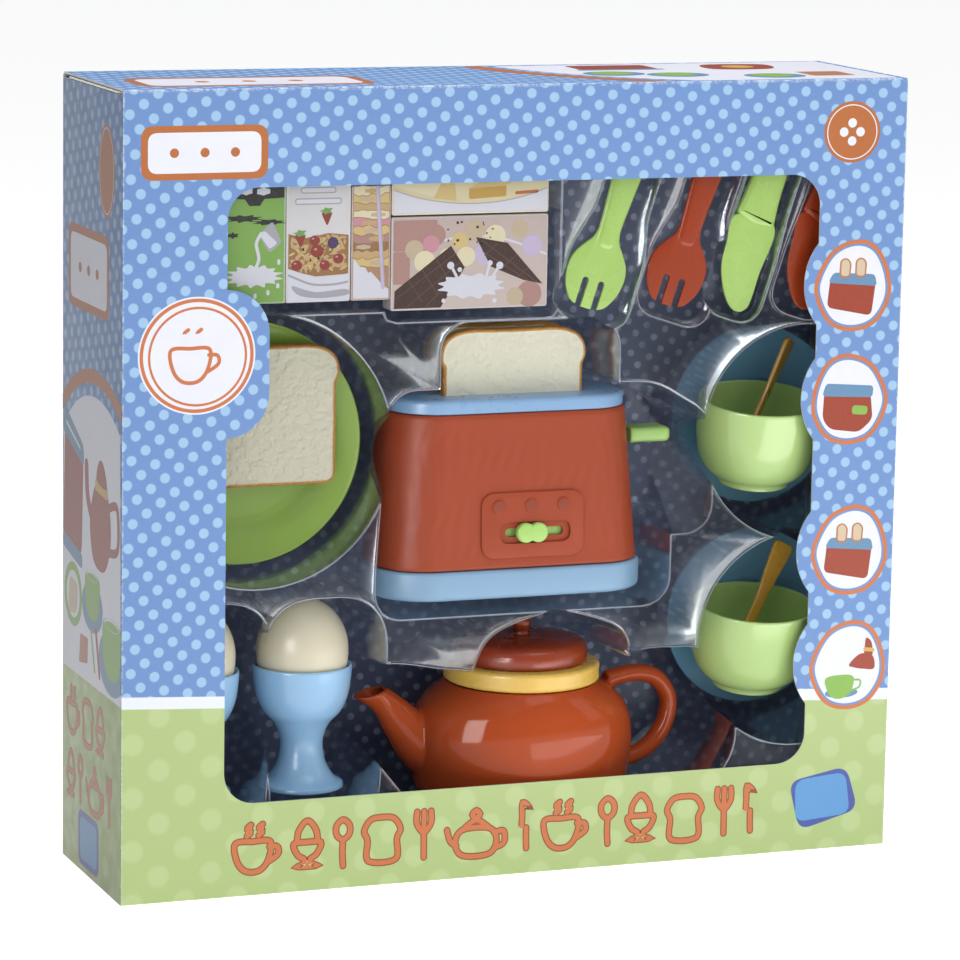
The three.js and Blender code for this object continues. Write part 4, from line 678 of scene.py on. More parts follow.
def printed(name, surface, lift, shapes):
    places, faces = [], []
    for index, loops in enumerate(shapes):
        start, count = len(places), sum(len(loop) for loop in loops)
        for height in (lift + index % 5 * 0.003, -0.04 - index % 5 * 0.003):
            places += [surface(*spot, height) for loop in loops for spot in loop]
        for face in tessellate_polygon([[Vector((*spot, 0)) for spot in loop] for loop in loops]):
            faces.append([start + i for i in face])
            faces.append([start + count + i for i in reversed(face)])
        for loop in loops:
            for i in range(len(loop)):
                a, b = start + i, start + (i + 1) % len(loop)
                faces.append((a, b, b + count, a + count))
            start += len(loop)
    return addMesh(name, places, faces)


# A drawn line of even width, with round ends where it is open
def stroke(line, width, closed=False):
    if closed:
        return [grown(line, width / 2), grown(line, -width / 2)]
    path = np.array(line, float)
    way = np.gradient(path, axis=0)
    way /= np.linalg.norm(way, axis=1)[:, None]
    side = np.stack([-way[:, 1], way[:, 0]], 1) * width / 2
    last, first = degrees(atan2(*way[-1][::-1])), degrees(atan2(*way[0][::-1]))
    outline = [tuple(p) for p in path - side] + arc(*path[-1], width / 2, last - 85, last + 85, 8)
    outline += [tuple(p) for p in (path + side)[::-1]] + arc(*path[0], width / 2, first + 95, first + 265, 8)
    return [outline]


# Drawings of breakfast things, in millimetres: how wide each is, and its lines (closed or open)
drawings = {
    "cup": (22, [
        (True, [(0, 15), (9, 15.6), (18, 15), (17, 6), (12.5, 0.8), (5.5, 0.8), (1, 6)]),
        (False, [(17.6, 12.5), (21.6, 12.2), (22, 8.4), (17, 5)]),
        (False, [(6, 18.5), (8, 20.3), (6, 22.2), (8, 24)]),
        (False, [(12, 18.5), (14, 20.3), (12, 22.2), (14, 24)]),
    ]),
    "egg": (14, [
        (True, [
            (0, 12), (7, 12.6), (14, 12), (12, 6.4), (8.6, 4), (9, 1.6), (12, 0.4), (2, 0.4), (5, 1.6),
            (5.4, 4), (2, 6.4),
        ]),
        (False, [(1.6, 12.6), (2.6, 18.6), (7, 23.4), (11.4, 18.6), (12.4, 12.6)]),
    ]),
    "spoon": (8, [
        (True, [(4, 24), (7.4, 21), (7.2, 16.4), (4, 14), (0.8, 16.4), (0.6, 21)]),
        (False, [(4, 14), (3.8, 7), (4.2, 0.6)]),
    ]),
    "fork": (9, [
        (False, [(0.8, 24), (0.8, 18), (4.5, 13.4), (8.2, 18), (8.2, 24)]),
        (False, [(4.5, 24), (4.5, 12), (4.6, 0.6)]),
    ]),
    "knife": (6, [
        (True, [(1, 24), (4.6, 21), (5.6, 15), (5.2, 11), (1, 11), (0.8, 17)]),
        (False, [(3, 11), (3, 6), (3.2, 0.6)]),
    ]),
    "toast": (19, [(True, [
        (2.4, 0.6), (16.6, 0.6), (17.2, 11), (19, 16), (15.6, 21.4), (9.5, 22.4), (3.4, 21.4), (0, 16),
        (1.8, 11),
    ])]),
    "pot": (31, [
        (True, [(9, 14), (23, 14), (27, 7.6), (23, 0.8), (9, 0.8), (5, 7.6)]),
        (False, [(5.6, 6), (2.4, 8.6), (0.6, 14.4)]),
        (False, [(25.6, 11.4), (30.6, 12), (31, 6), (25.8, 3.6)]),
        (False, [(9.6, 14.6), (16, 18.6), (22.4, 14.6)]),
        (True, [(16, 23.4), (18, 21.4), (16, 19.4), (14, 21.4)]),
    ]),
}


def drawn(name, x, z, scale, width):
    shapes = []
    for closed, spots in drawings[name][1]:
        line = evenly(smoothLine([(x + a * scale, z + b * scale) for a, b in spots], 8, closed), 0.7, closed)
        shapes.append(stroke(line, width, closed))
    return shapes


def printInk(name, colour):
    material, tree, shader, place = newMaterial(name)
    base = mixed(tree, noise(tree, place, 14, 4, 0.6), shade(colour, 0.94), shade(colour, 1.05))
    paper = noise(tree, place, 0.5, 3)
    base = mixed(tree, ranged(tree, paper, 0.58, 0.8, 0, 0.12), base, ink(236, 236, 238))
    finished(tree, shader, base, carton["gloss"], 0.4)
    bumped(tree, shader, paper, 0.015)
    return material


inkColours = {
    "orange": ink(197, 112, 64),
    "brown": ink(140, 68, 42),
    "ochre": ink(178, 103, 50),
    "white": ink(226, 227, 238),
    "badge": ink(92, 150, 205),
    "badgeEdge": ink(70, 86, 160),
    "red": ink(150, 58, 34),
    "blue": ink(98, 138, 172),
    "green": ink(132, 176, 76),
    "yellow": ink(205, 165, 82),
    "bread": ink(205, 186, 158),
    "crust": ink(176, 116, 72),
    "sky": carton["blue"],
}
inks = {}


# An ink as it shows where less light falls: one material for each colour and tone
def inkOf(colour, shadeShare):
    if (colour, shadeShare) not in inks:
        inks[colour, shadeShare] = printInk("%s_ink_%d" % (colour, shadeShare * 100), shade(inkColours[colour], shadeShare))
    return inks[colour, shadeShare]


def stick(name, surface, body="package", shadeShare=1, slotName="printed_board"):
    layers = {}

    def add(colour, lift, *shapes):
        layers.setdefault((colour, lift), []).extend(shapes)

    def done():
        for (colour, lift), shapes in layers.items():
            piece = printed("%s_%s_%d" % (name, colour, lift), surface, lift * carton["artLayer"], shapes)
            dress(piece, body, [], slotName, inkOf(colour, shadeShare))

    return add, done


def smoothShape(spots, spacing=1.0):
    return [evenly(smoothLine(spots, 10, closed=True), spacing)]


def cornered(radius, *corners):
    return [roundedPolygon(corners, radius)]


def curved(spots, width, spacing=0.5):
    return stroke(evenly(smoothLine(spots, 8), spacing, False), width)


def dash(start, end, width, spacing=0.8):
    return stroke(evenly([start, end], spacing, False), width)


def threeDots(x, z, radius, apart):
    return [[circle(x + step, z, radius, 32)] for step in (-apart, 0, apart)]


# A row of drawings, each in brown with a thinner line in orange on it
def addRow(add, row, x, z, scale, widths, gap, swing=0):
    for i, name in enumerate(row):
        up = z + swing * sin(i * 2.3)
        for colour, lift, width in zip(("brown", "orange"), (1, 2), widths):
            add(colour, lift, *drawn(name, x, up, scale, width))
        x += gap(drawings[name][0])


def addTitle(add):
    row = "cup egg spoon toast fork pot knife cup spoon egg toast fork knife".split()
    low, high = -136, 122.5
    gap = (high - low - sum(drawings[name][0] for name in row)) / (len(row) - 1)
    addRow(add, row, low, 10.6, 0.93, (3.4, 2.3), lambda wide: wide + gap, 0.8)


ringShares = [
    (0.08, 1), (0.62, 0.84), (0.95, 0.3), (1, -0.3), (0.62, -0.84), (0, -1), (-0.6, -0.82), (-0.97, -0.25),
    (-0.95, 0.2), (-0.55, 0.78),
]
ringPlaces = [(164.3, 270.4, 1), (164.8, 216.7, -1), (166.7, 144.5, 1), (167.6, 88.9, 1)]


def ringOutline(x, z, half, tall, lean):
    return smoothShape([(x + a * half * lean, z + b * tall) for a, b in ringShares], 0.8)[0]


def addRings(add):
    for i, (x, z, lean) in enumerate(ringPlaces):
        outline = ringOutline(x, z, 18.6, 20.6, lean)
        add("sky", 1, [outline])
        add("orange", 2, stroke(outline, 1.9, True))
        add("white", 2, [ringOutline(x, z, 16.6, 18.6, lean)])
        inside = lambda *spots: [(x + a, z + b) for a, b in spots]
        if i in (0, 2):
            add("red", 3, cornered(3, *inside((-13, -10), (10, -14.5), (12, 2), (-11.5, 4))))
            add("blue", 4, cornered(2, *inside((-12.6, 1.6), (12.6, -0.6), (11.4, 5), (-10, 6.4))))
            for step in (-7, 1):
                toast = [(0, 4), (5.6, 3.6), (6.2, 11), (3.4, 13.4), (0.2, 12)]
                spots = inside(*[(step + a, b) for a, b in toast])
                add("crust", 5, cornered(2, *spots))
                middleX, middleZ = (sum(values) / len(spots) for values in zip(*spots))
                crumb = [(middleX + (a - middleX) * 0.72, middleZ + (b - middleZ) * 0.84) for a, b in spots]
                add("bread", 6, cornered(1.4, *crumb))
        elif i == 1:
            add(
                "red", 3,
                cornered(3, *inside((-14, -9), (-10, -14), (5, -16), (12, -10), (10.6, 2.6), (-13.4, 4))),
            )
            add("blue", 4, cornered(2, *inside((-14.4, 1.8), (11.6, 0.4), (12, 6), (-12.6, 7.8))))
            add("green", 4, cornered(1.8, *inside((1, -7.2), (9, -7.8), (9.4, -3.6), (1.4, -3))))
        else:
            pot = inside((1, 0), (5.4, 4.4), (9.4, 5.2), (13.6, 3.4), (14.2, -2.4), (8.8, -2.4), (3.6, -1.4))
            add("red", 3, smoothShape(pot, 0.6))
            add("red", 3, cornered(2, *inside((8.6, 4), (13.6, 3.6), (12.6, 11), (9.4, 13.4))))
            add("yellow", 4, cornered(0.8, *inside((8.2, 6.2), (14.2, 5.6), (14, 7.4), (8.4, 8.2))))
            add("blue", 3, [evenly(circle(x - 2.6, z - 13.4, 8.6, 48, 2.4), 0.6)])
            cup = inside((-11, -6), (-3, -4.6), (3.6, -6), (2.4, -13), (-2, -16), (-7, -15.6), (-10, -12))
            add("green", 4, smoothShape(cup, 0.6))
            add("green", 4, curved(inside((3, -7.4), (7, -7.8), (6.6, -11), (2.4, -12.6)), 1))


def addFrontPrints():
    add, done = stick("front_art", onFront)
    addTitle(add)
    addRings(add)
    # Badge, plaque and round fields are bare or carry a plain drawing
    add("badgeEdge", 1, cornered(6.5, (139, 34), (169, 39.6), (175.6, 18), (145, 9.8)))
    add("badge", 2, cornered(5.5, (142.4, 34.4), (168.6, 36.8), (171.4, 16.4), (143, 14)))
    add("ochre", 1, [rectangle(-181.6, 327, -123.1, 351, 6)])
    add("white", 2, [evenly(rectangle(-178.4, 330, -126.3, 348, 4.4), 1.2)])
    add("ochre", 3, *threeDots(-152.3, 339, 2.1, 14))
    add("ochre", 1, [circle(161.7, 342.3, 14.3, 72)])
    add("white", 2, stroke(circle(161.7, 342.3, 12.6, 72), 0.5, True))
    petals = [(161.7 + 4.2 * sin(a), 342.3 + 4.2 * cos(a)) for a in (0, pi / 2, pi, -pi / 2)]
    add("white", 2, *[[circle(*petal, 2.2, 28)] for petal in petals])
    add("white", 1, [circle(-155.5, 248.8, 27.2, 96, 26.4)])
    add("orange", 2, stroke(evenly(circle(-155.5, 248.8, 25.6, 96, 24.8), 1), 1.6, True))
    add("orange", 2, stroke(evenly(circle(-155.1, 248.4, 22.4, 96, 21.8), 1), 1.1, True))
    add("orange", 3, *drawn("cup", -167.5, 236.5, 1, 1.7))
    done()


def addLeftPrints():
    add, done = stick("left_art", onLeft, shadeShare=carton["leftTone"])
    reach = carton["sideReach"]
    field = [(x, z) for x, z in arc(6, 148, 77, 135, 45, 40) if abs(x) < reach]
    add("white", 1, [[(reach, 91.4), (-reach, 92)] + field])
    band = [(x, z) for x, z in arc(6, 148, 86, 135, 45, 60) if abs(x) < reach]
    add("ochre", 1, stroke(band, 6.5))
    # Toaster, teapot, cups, plates and cutlery as flat shapes
    add("red", 2, cornered(6, (-47, 152), (-16, 148), (-13, 196), (-44, 206)))
    add("blue", 3, [
        roundedPolygon([(-47, 202), (-12, 190), (-13, 200), (-44, 214)], 4),
        roundedPolygon([(-47, 148), (-15, 142), (-15, 149), (-47, 155)], 3),
    ])
    add("white", 4, cornered(0.5, (-42, 206), (-18, 197), (-18, 198.4), (-42, 207.6)))
    add("red", 2, smoothShape([(4, 150), (22, 148), (32, 164), (26, 184), (8, 186), (-2, 168)]))
    add("red", 2, curved([(2, 168), (-6, 178), (-8, 192)], 6, 1))
    add("red", 2, curved([(28, 178), (42, 180), (43, 162), (30, 158)], 4, 1))
    add("yellow", 3, cornered(2.4, (6, 183), (27, 181), (27, 187), (7, 189)))
    add("red", 4, smoothShape([(9, 188), (25, 186), (20, 196), (13, 197)]))
    for x, z, size in ((2, 136, 1), (34, 118, 1.25)):
        add("blue", 2, [circle(x, z - 8 * size, 17 * size, 64, 12 * size)])
        cup = [(x + a * size, z + b * size) for a, b in ((-11, 6), (11, 6), (8, -12), (-8, -12))]
        add("green", 3, smoothShape(cup))
        add("white", 4, [circle(x, z + 6 * size, 9.4 * size, 48, 2.2 * size)])
        add("green", 5, [circle(x, z + 5.6 * size, 8.6 * size, 48, 1.6 * size)])
    add("green", 2, [circle(-30, 128, 15, 64, 15)])
    add("white", 3, [circle(-30, 128, 11, 64, 11)])
    add("bread", 4, cornered(4, (-38, 118), (-24, 120), (-22, 134), (-36, 136)))
    add("red", 2, dash((8, 118), (14, 98), 3, 1))
    add("green", 2, dash((0, 116), (6, 99), 2.4, 1))
    add("crust", 2, cornered(1.5, (-20, 98), (-6, 100), (-5, 112), (-18, 112)))
    add("ochre", 1, [circle(24, 329, 12.6, 64, 21)])
    add("white", 2, stroke(evenly(circle(24, 329, 11.2, 64, 19.2), 1), 0.5, True))
    add("ochre", 1, [rectangle(-38, 262, 28, 300, 6)])
    add("white", 2, [rectangle(-34.6, 266, 24.6, 296, 4.5)])
    add("ochre", 3, *threeDots(-5, 281, 2.4, 14))
    for z, row in ((62, "cup toast egg"), (32, "egg spoon pot fork")):
        addRow(add, row.split(), -40, z, 0.9, (3.2, 2.2), lambda wide: wide * 0.9 + 6)
    add("badgeEdge", 1, [rectangle(-21, 3, 13, 29, 6)])
    add("badge", 2, [rectangle(-18, 6, 10, 26, 4.5)])
    done()


def addTopPrints():
    add, done = stick("top_art", onTop, "lid")
    add("ochre", 1, [rectangle(-176, -36, -66, 8, 10)])
    add("white", 2, [rectangle(-171, -31, -71, 3, 7)])
    add("ochre", 3, *threeDots(-121, -14, 3.4, 22))
    outer, edge, inner = (
        [(x, y) for x, y in arc(150, 74, radius, 180, 270, 70) if -46 < y < 46.4] for radius in (152, 141, 135)
    )
    add("ochre", 1, [outer + edge[::-1]])
    add("white", 1, [inner + [(186, -46), (186, 46.4)]])
    add("red", 2, [rectangle(52, 18, 92, 40, 4)], smoothShape([(118, 12), (146, 10), (152, 34), (122, 36)]))
    add("blue", 3, [rectangle(50, 14, 94, 19, 2)])
    for x, y in ((88, -14), (132, -26), (60, -4)):
        add("blue", 2, [circle(x, y, 15, 48, 12)])
        add("green", 3, [circle(x, y + 3, 10, 48, 9)])
    add("yellow", 3, [circle(135, 24, 8, 48, 7)])
    add("crust", 2, [rectangle(150, -30, 172, -8, 2)])
    done()


addFrontPrints()
addLeftPrints()
addTopPrints()
print("prints laid")

# Backing card, printed dark with dots of uneven brightness

card = {"navy": ink(108, 116, 146), "dot": ink(186, 196, 222), "pitch": 7, "radius": 1.7, "turn": 32}


def cardMaterial():
    material, tree, shader, place = newMaterial("card_print")
    along = axes(tree, place)
    spots = dots(tree, along[0], along[2], card["pitch"], card["radius"], card["turn"], 0.35)
    bright = ranged(tree, noise(tree, place, 9, 1), 0.35, 0.65, 0.25, 1)
    clouds = noise(tree, place, 50, 3)
    base = mixed(tree, clouds, shade(card["navy"], 0.8), shade(card["navy"], 1.2))
    base = mixed(tree, maths(tree, "MULTIPLY", spots, bright), base, card["dot"])
    fibres = noise(tree, place, 0.4, 3)
    base = mixed(tree, ranged(tree, fibres, 0.6, 0.8, 0, 0.2), base, ink(130, 138, 170))
    finished(tree, shader, base, 0.6)
    bumped(tree, shader, fibres, 0.02)
    return material


repaint("backing_card", cardMaterial())
print("card printed")

# Clear tray

tray = {
    "wall": 0.5,
    "room": 1,
    "floorRadius": 4,
    "lip": 1.8,
    "draft": 0.045,
    "roundDraft": 0.075,
    "sheet": -46.4,
    "back": 45.2,
    "skirtCorner": 3,
    "spacing": 2,
    # The edges film's white veil is a painted highlight on the pockets' bent lips, standing in for the bright
    # lines they catch
    "films": {"sheet": (0.012, 0.12), "pockets": (0.004, 0.06), "edges": (0.35, 0.1)},  # haze and roughness
}


def clearSheet(name, hazeAndHighlight, roughness):
    material = bpy.data.materials.new(name)
    material.use_nodes = True
    tree = material.node_tree
    tree.nodes.clear()
    add = tree.nodes.new
    kinds = (
        "OutputMaterial", "BsdfTransparent", "BsdfGlossy", "BsdfDiffuse", "Fresnel", "Bump", "MixShader",
        "MixShader",
    )
    output, through, gloss, veil, fresnel, ripple, cloudy, shiny = (add("ShaderNode" + kind) for kind in kinds)
    through.inputs["Color"].default_value = (0.972, 0.98, 0.985, 1)
    place = millimetres(tree)
    wander = noise(tree, place, 6, 3)
    feed(tree, gloss.inputs["Roughness"], ranged(tree, wander, 0.3, 0.7, roughness * 0.6, roughness * 1.5))
    gloss.inputs["Color"].default_value = (0.95, 0.97, 1, 1)
    veil.inputs["Color"].default_value = ink(206, 214, 230)
    fresnel.inputs["IOR"].default_value = 1.5
    ripple.inputs["Distance"].default_value = 0.25 * mm
    tree.links.new(noise(tree, place, 22, 2), ripple.inputs["Height"])
    for socket in (gloss.inputs["Normal"], fresnel.inputs["Normal"]):
        tree.links.new(ripple.outputs[0], socket)
    # Seen straight on, the thin film hardly mirrors anything
    mirror = ranged(tree, fresnel.outputs[0], 0.04, 0.6, 0.004, 0.5)
    patches = ranged(tree, noise(tree, place, 70, 3), 0.3, 0.7, hazeAndHighlight * 0.7, hazeAndHighlight * 1.3)
    for mix, share, first, second in ((cloudy, patches, through, veil), (shiny, mirror, cloudy, gloss)):
        for socket, value in zip(mix.inputs, (share, first.outputs[0], second.outputs[0])):
            feed(tree, socket, value)
    tree.links.new(shiny.outputs[0], output.inputs[0])
    return material


def tilted(spots, x, z, turn):
    level, rise = cos(radians(turn)), sin(radians(turn))
    return [(x + a * level + b * rise, z - a * rise + b * level) for a, b in spots]


def cutleryPocket(x, half):
    corners = [(-half, -2.3), (half, -2.3), (half, 26), (9, 46), (9, 100), (-9, 100), (-9, 46), (-half, 26)]
    corners = [(a, b, 7 if b < 0 else 5) for a, b in corners]
    return tilted(roundedPolygon(corners, 5), x, 262.5, 18)


def teapotPocket():
    outline = [(0, 0), (35, 0), (54, 17.5), (79.8, 35), (83.8, 54), (75.8, 79), (54, 83), (31, 83), (27, 95)]
    outline += [(4, 103), (-4, 103), (-27, 95), (-37, 79), (-54, 79), (-84.2, 83), (-88.2, 70), (-84.2, 54)]
    outline += [(-54, 17.5), (-35, 0)]
    return [(x + 20, z + 12) for x, z in smoothLine(outline, 10, closed=True)]


def toasterPocket():
    outline = [(-66, 129.7), (66, 129.7), (66, 162.8), (86.4, 162.8), (86.4, 206.8), (61, 222), (38.35, 222)]
    outline += [(38.35, 252.5), (-35.95, 252.5), (-35.95, 222), (-61, 222), (-66, 143.5)]
    return [(x + 3.5, z) for x, z in roundedPolygon(outline, 8)]


def eggCupPocket(x):
    corners = [(-19.5, 40), (19.5, 40), (23.1, 83.15), (23.1, 128.9, 18), (-23.1, 128.9, 18), (-23.1, 83.15)]
    corners = [(x + a, *rest) for a, *rest in corners]
    return roundedPolygon(corners, 4)


# Each pocket: outline at its floor, the floor's depth, and how much the walls open towards the front
def trayPockets():
    draft, wide = tray["draft"], tray["roundDraft"]
    return [
        (rectangle(-140.4, 270, -62.6, 345, 2.4), -14.7, draft),
        (rectangle(-62.2, 264.7, 13.6, 335, 2.4), -21.7, draft),
        (cutleryPocket(33.7, 14.75), -37.1, draft),
        (cutleryPocket(74, 14.75), -37.1, draft),
        (cutleryPocket(104.4, 10.5), -37.1, draft),
        (cutleryPocket(137.9, 10.5), -37.1, draft),
        (toasterPocket(), 20.8, draft),
        (circle(-124.2, 203.5, 56, 96), -8.3, wide),
        (circle(142.7, 102.8, 42.8, 96), 17.3, wide),
        (circle(142.7, 201.4, 42.8, 96), 17.3, wide),
        (eggCupPocket(-147), 11.4, draft),
        (eggCupPocket(-92.5), 11.4, draft),
        (teapotPocket(), 41.3, draft),
    ]


def clipped(piece, room):
    step = piece.modifiers.new("clip", "BOOLEAN")
    step.solver, step.operation, step.object = "MANIFOLD", "INTERSECT", room
    return applied(piece)


def pocketSolid(name, outline, floor, draft, wall):
    outline = evenly(outline, tray["spacing"])
    sheet, bend, lip = tray["sheet"], tray["floorRadius"], tray["lip"]
    bottom = floor + wall
    flare = lambda y: tray["room"] + wall + bend / 2 + draft * (floor - y)
    mouth = flare(sheet) + lip
    levels = [(sheet, mouth)] if wall else [(sheet - 3, mouth + 0.8), (sheet - 0.02, mouth)]
    for a in quarter(4)[1:]:
        levels.append((sheet + wall + lip * (1 - cos(a)), flare(sheet) + lip * (1 - sin(a))))
    start = sheet + wall + lip
    end = bottom - bend
    steps = max(2, int((end - start) / 8))
    for i in range(1, steps + 1):
        y = start + (end - start) * i / steps
        levels.append((y, flare(y)))
    for a in quarter(4)[1:]:
        levels.append((end + bend * sin(a), flare(end) - bend * 0.5 * (1 - cos(a))))
    rings = [[(x, y, z) for x, z in grown(outline, reach)] for y, reach in levels]
    return loft(name, rings)


def addTray():
    low, high = box("blister_tray")
    wall, sheet, back = tray["wall"], tray["sheet"], tray["back"]
    rim = rectangle(low.x, low.z, high.x, high.z, tray["skirtCorner"])
    outer = slab("clear_tray", rim, sheet, back, 0.8)
    room = grown(rim, -wall)
    inner = slab("room", room, sheet + wall, back + 4)
    outsides, insides = [], []
    clip = slab("clip", rim, sheet, back)
    through = slab("through", room, sheet - 2, back)
    for i, pocket in enumerate(trayPockets()):
        outsides.append(clipped(pocketSolid("pocket_outside_%d" % i, *pocket, wall), clip))
        insides.append(clipped(pocketSolid("pocket_inside_%d" % i, *pocket, 0), through))
    for helper in (clip, through):
        bpy.data.objects.remove(helper)
    cut(outer, inner)
    joined(outer, *outsides)
    cut(outer, *insides, angle=50)
    films = [clearSheet("tray_" + part, *film) for part, film in tray["films"].items()]
    dress(outer, "package", ["blister_tray"], "clear_sheet", *films)
    # The bent lips take the edges film, whose white veil is painted highlight
    for face in outer.data.polygons:
        depth = face.center.y / mm - sheet
        flat = abs(face.normal.y) > 0.97 and depth < wall + 0.2
        bent = 0.002 < depth < tray["lip"] * 0.2
        face.material_index = 2 if bent and not flat else 0 if flat else 1


addTray()
print("tray formed")

# Toaster, in its own frame: the middle of the plan, on the bottom of the base

toaster = {
    "red": ink(156, 68, 42),
    "blue": ink(126, 160, 190),
    "rimBlue": ink(130, 166, 204),
    "green": ink(163, 205, 108),
    "travel": 28,  # how far the lifter goes down and shortens its spring
    "base": (132, 65, 26),  # width, depth and corner radius
    "baseRoom": (119, 52, 19.5),
    "baseTop": 13.5,
    "baseBends": (2.5, 1.6),  # below and above
    "floor": 2,
    "foot": (128, 62, 13.8),  # width, depth and height where the shell starts
    "head": (116, 56, 85.6),  # and where it ends
    "shellCorner": 23,
    "shellBend": 2.5,
    "shellSteps": 328,  # points around the shell
    "wall": 2,
    "ripple": 0.24,
    "ripplePitch": 6.4,
    "field": (-20.3, 18.6, 30.3, 49.3, 7),  # raised around the knob: two corners and the corner radius
    "discs": [(-12, 42.9), (4, 42.9), (20, 42.9)],
    "discRadius": 3.2,
    "hatchRadius": 2.5,
    "hatchLine": 0.4,
    "knobRecess": (-11.5, 25.4, 23.5, 35.4, 4.9),
    "knobSlot": (-8.3, 28.4, 20.3, 32.4, 2),
    "leverSlot": ((29, -2.4, 38.4), (66, 2.4, 71.8)),
    "rim": (114.4, 54.4, 22.2),
    "rimHeights": (85.9, 92.3),
    "rimBend": 2.2,
    "rimWall": 1.6,
    "rimPlate": 2.4,
    "slot": (78, 11, 5.5),
    "slots": [(1.2, -9, 0), (1.2, 9, 0)],
    "lifterArm": (51.8, 54.8),  # the upright's sides
    "lifterBar": 1.8,  # half its depth
    "lifterHeights": (67.4, 70.8),
    "lever": (2.5, 8, 3.7, 3),  # shorter than the solid, half depth, half height, corner radius
    "leverTip": 3.2,
    "knob": (3.9, 0, 30.4),
    "knobLobe": 4.6,
    "knobHalf": 3,
}
toasterPlace = Vector(footOf("toaster_base"))
panelLean = atan(3 / 71.8)


def onPanel(piece):
    depth, hinge = toaster["foot"][1:]
    placed(piece, (0, 0, -hinge))
    return placed(piece, (0, -depth / 2, hinge), Matrix.Rotation(-panelLean, 4, "X"))


def inSet(size, inset, steps=12):
    width, depth, corner = size
    return plan(width - 2 * inset, depth - 2 * inset, corner - inset, steps)


def shellSize(z):
    (w0, d0, z0), (w1, d1, z1) = toaster["foot"], toaster["head"]
    share = (z - z0) / (z1 - z0)
    return w0 + (w1 - w0) * share, d0 + (d1 - d0) * share, toaster["shellCorner"]


def rippledShell():
    low, high, bend = toaster["foot"][2], toaster["head"][2], toaster["shellBend"]
    levels = [(low, 0.8), (low + 0.35, 0.25), (low + 1, 0)]
    levels += [(low + 1 + (high - low - bend - 1) * i / 68, 0) for i in range(1, 69)]
    levels += [(high - bend + bend * sin(a), bend * (1 - cos(a)) * 0.6) for a in (0.3, 0.6, 0.9, 1.2, pi / 2)]
    rings = []
    for z, inset in levels:
        size = shellSize(z)
        outline = inSet(size, inset, 16)
        length = sum(dist(outline[i], outline[i - 1]) for i in range(len(outline)))
        ring = []
        for x, y in evenly(outline, length / toaster["shellSteps"]):
            front = max(0.0, min(1.0, (abs(y) - size[1] / 2 + 6) / 5))
            ends = max(0.0, min(1.0, (z - low - 2) / 5, (high - 4 - z) / 5))
            swing = 1.3 * sin(z / 6.5 + x / 19) + 0.9 * sin(z / 3.1 - x / 11)
            wave = sin(2 * pi * (x + swing) / toaster["ripplePitch"])
            deep = toaster["ripple"] * front * ends * (0.5 - 0.5 * wave)
            ring.append((x, y - copysign(deep, y), z))
        rings.append(ring)
    return loft("toaster_red_shell", rings, 40)


def addShell():
    shell = rippledShell()
    ends = (toaster["foot"][2] - 4, toaster["head"][2] + 4)
    hollow = [(inSet(shellSize(z), toaster["wall"]), z) for z in ends]
    raised = slab("raised", rectangle(*toaster["field"]), -1.2, 1, 0.7)
    radius = toaster["discRadius"]
    discs = [slab("disc", circle(*spot, radius, 48), -1.8, -0.2, 0.4) for spot in toaster["discs"]]
    joined(shell, onPanel(raised), *[onPanel(disc) for disc in discs])
    recess = slab("recess", rectangle(*toaster["knobRecess"]), -6, 0.3)
    slot = slab("slot", rectangle(*toaster["knobSlot"]), -5, 6)
    lever = block("lever_slot", *toaster["leverSlot"])
    cut(shell, stacked("hollow", hollow), onPanel(recess), onPanel(slot), lever, angle=32)
    return placed(shell, toasterPlace)


def hatch():
    lines = []
    thin = toaster["hatchLine"] / 2
    for x, z in toaster["discs"]:
        for step in (-1.8, -0.9, 0, 0.9, 1.8):
            half = sqrt(toaster["hatchRadius"] ** 2 - step**2)
            upright = rectangle(x + step - thin, z - half, x + step + thin, z + half)
            level = rectangle(x - half, z - thin + step, x + half, z + thin + step)
            lines += [onPanel(slab("hatch", bar, -1.98, -1.7)) for bar in (upright, level)]
    return placed(joined(lines[0], *lines[1:]), toasterPlace)


def addBase():
    below, above = toaster["baseBends"]
    bends = [(below * (1 - sin(a)), below * (1 - cos(a))) for a in quarter(6)]
    bends += [(above * (1 - cos(a)), toaster["baseTop"] - above + above * sin(a)) for a in quarter(6)]
    base = stacked("toaster_blue_base", [(inSet(toaster["base"], inset, 20), z) for inset, z in bends])
    room = inSet(toaster["baseRoom"], 0, 16)
    hollow = stacked("hollow", [(room, toaster["floor"]), (room, 18)])
    post = stacked("post", [(circle(0, 0, radius, 32), z) for radius, z in ((2.4, 1), (2.4, 13.6), (1.9, 14))])
    placed(post, (middleOf("toaster_lift_spring").x - toasterPlace.x, 0, 0))
    cut(base, hollow)
    joined(base, post)
    return placed(base, toasterPlace)


def addRim():
    low, high = toaster["rimHeights"]
    bend, plate = toaster["rimBend"], high - toaster["rimPlate"]
    levels = [(low, 0.3), (low + 0.3, 0)]
    levels += [(high - bend + bend * sin(a), bend * (1 - cos(a))) for a in quarter(8)]
    rim = stacked("toaster_blue_rim", [(inSet(toaster["rim"], inset, 20), z) for z, inset in levels])
    under = inSet(toaster["rim"], toaster["rimWall"], 16)
    cut(rim, stacked("under", [(under, low - 4), (under, plate)]))
    holes, lips = [], []
    slot = plan(*toaster["slot"], 12)
    for place in toaster["slots"]:
        lip = [(grown(slot, reach), z) for reach, z in ((1.5, plate), (1.5, high + 0.2), (1.1, high + 0.62))]
        lip += [(grown(slot, 0.6), high + 0.7)]
        lips.append(placed(stacked("lip", lip), place))
        hole = [(slot, low - 4), (slot, high - 0.5), (grown(slot, 0.5), high + 0.9)]
        holes.append(placed(stacked("hole", hole), place))
    joined(rim, *lips)
    cut(rim, *holes)
    return placed(rim, toasterPlace)


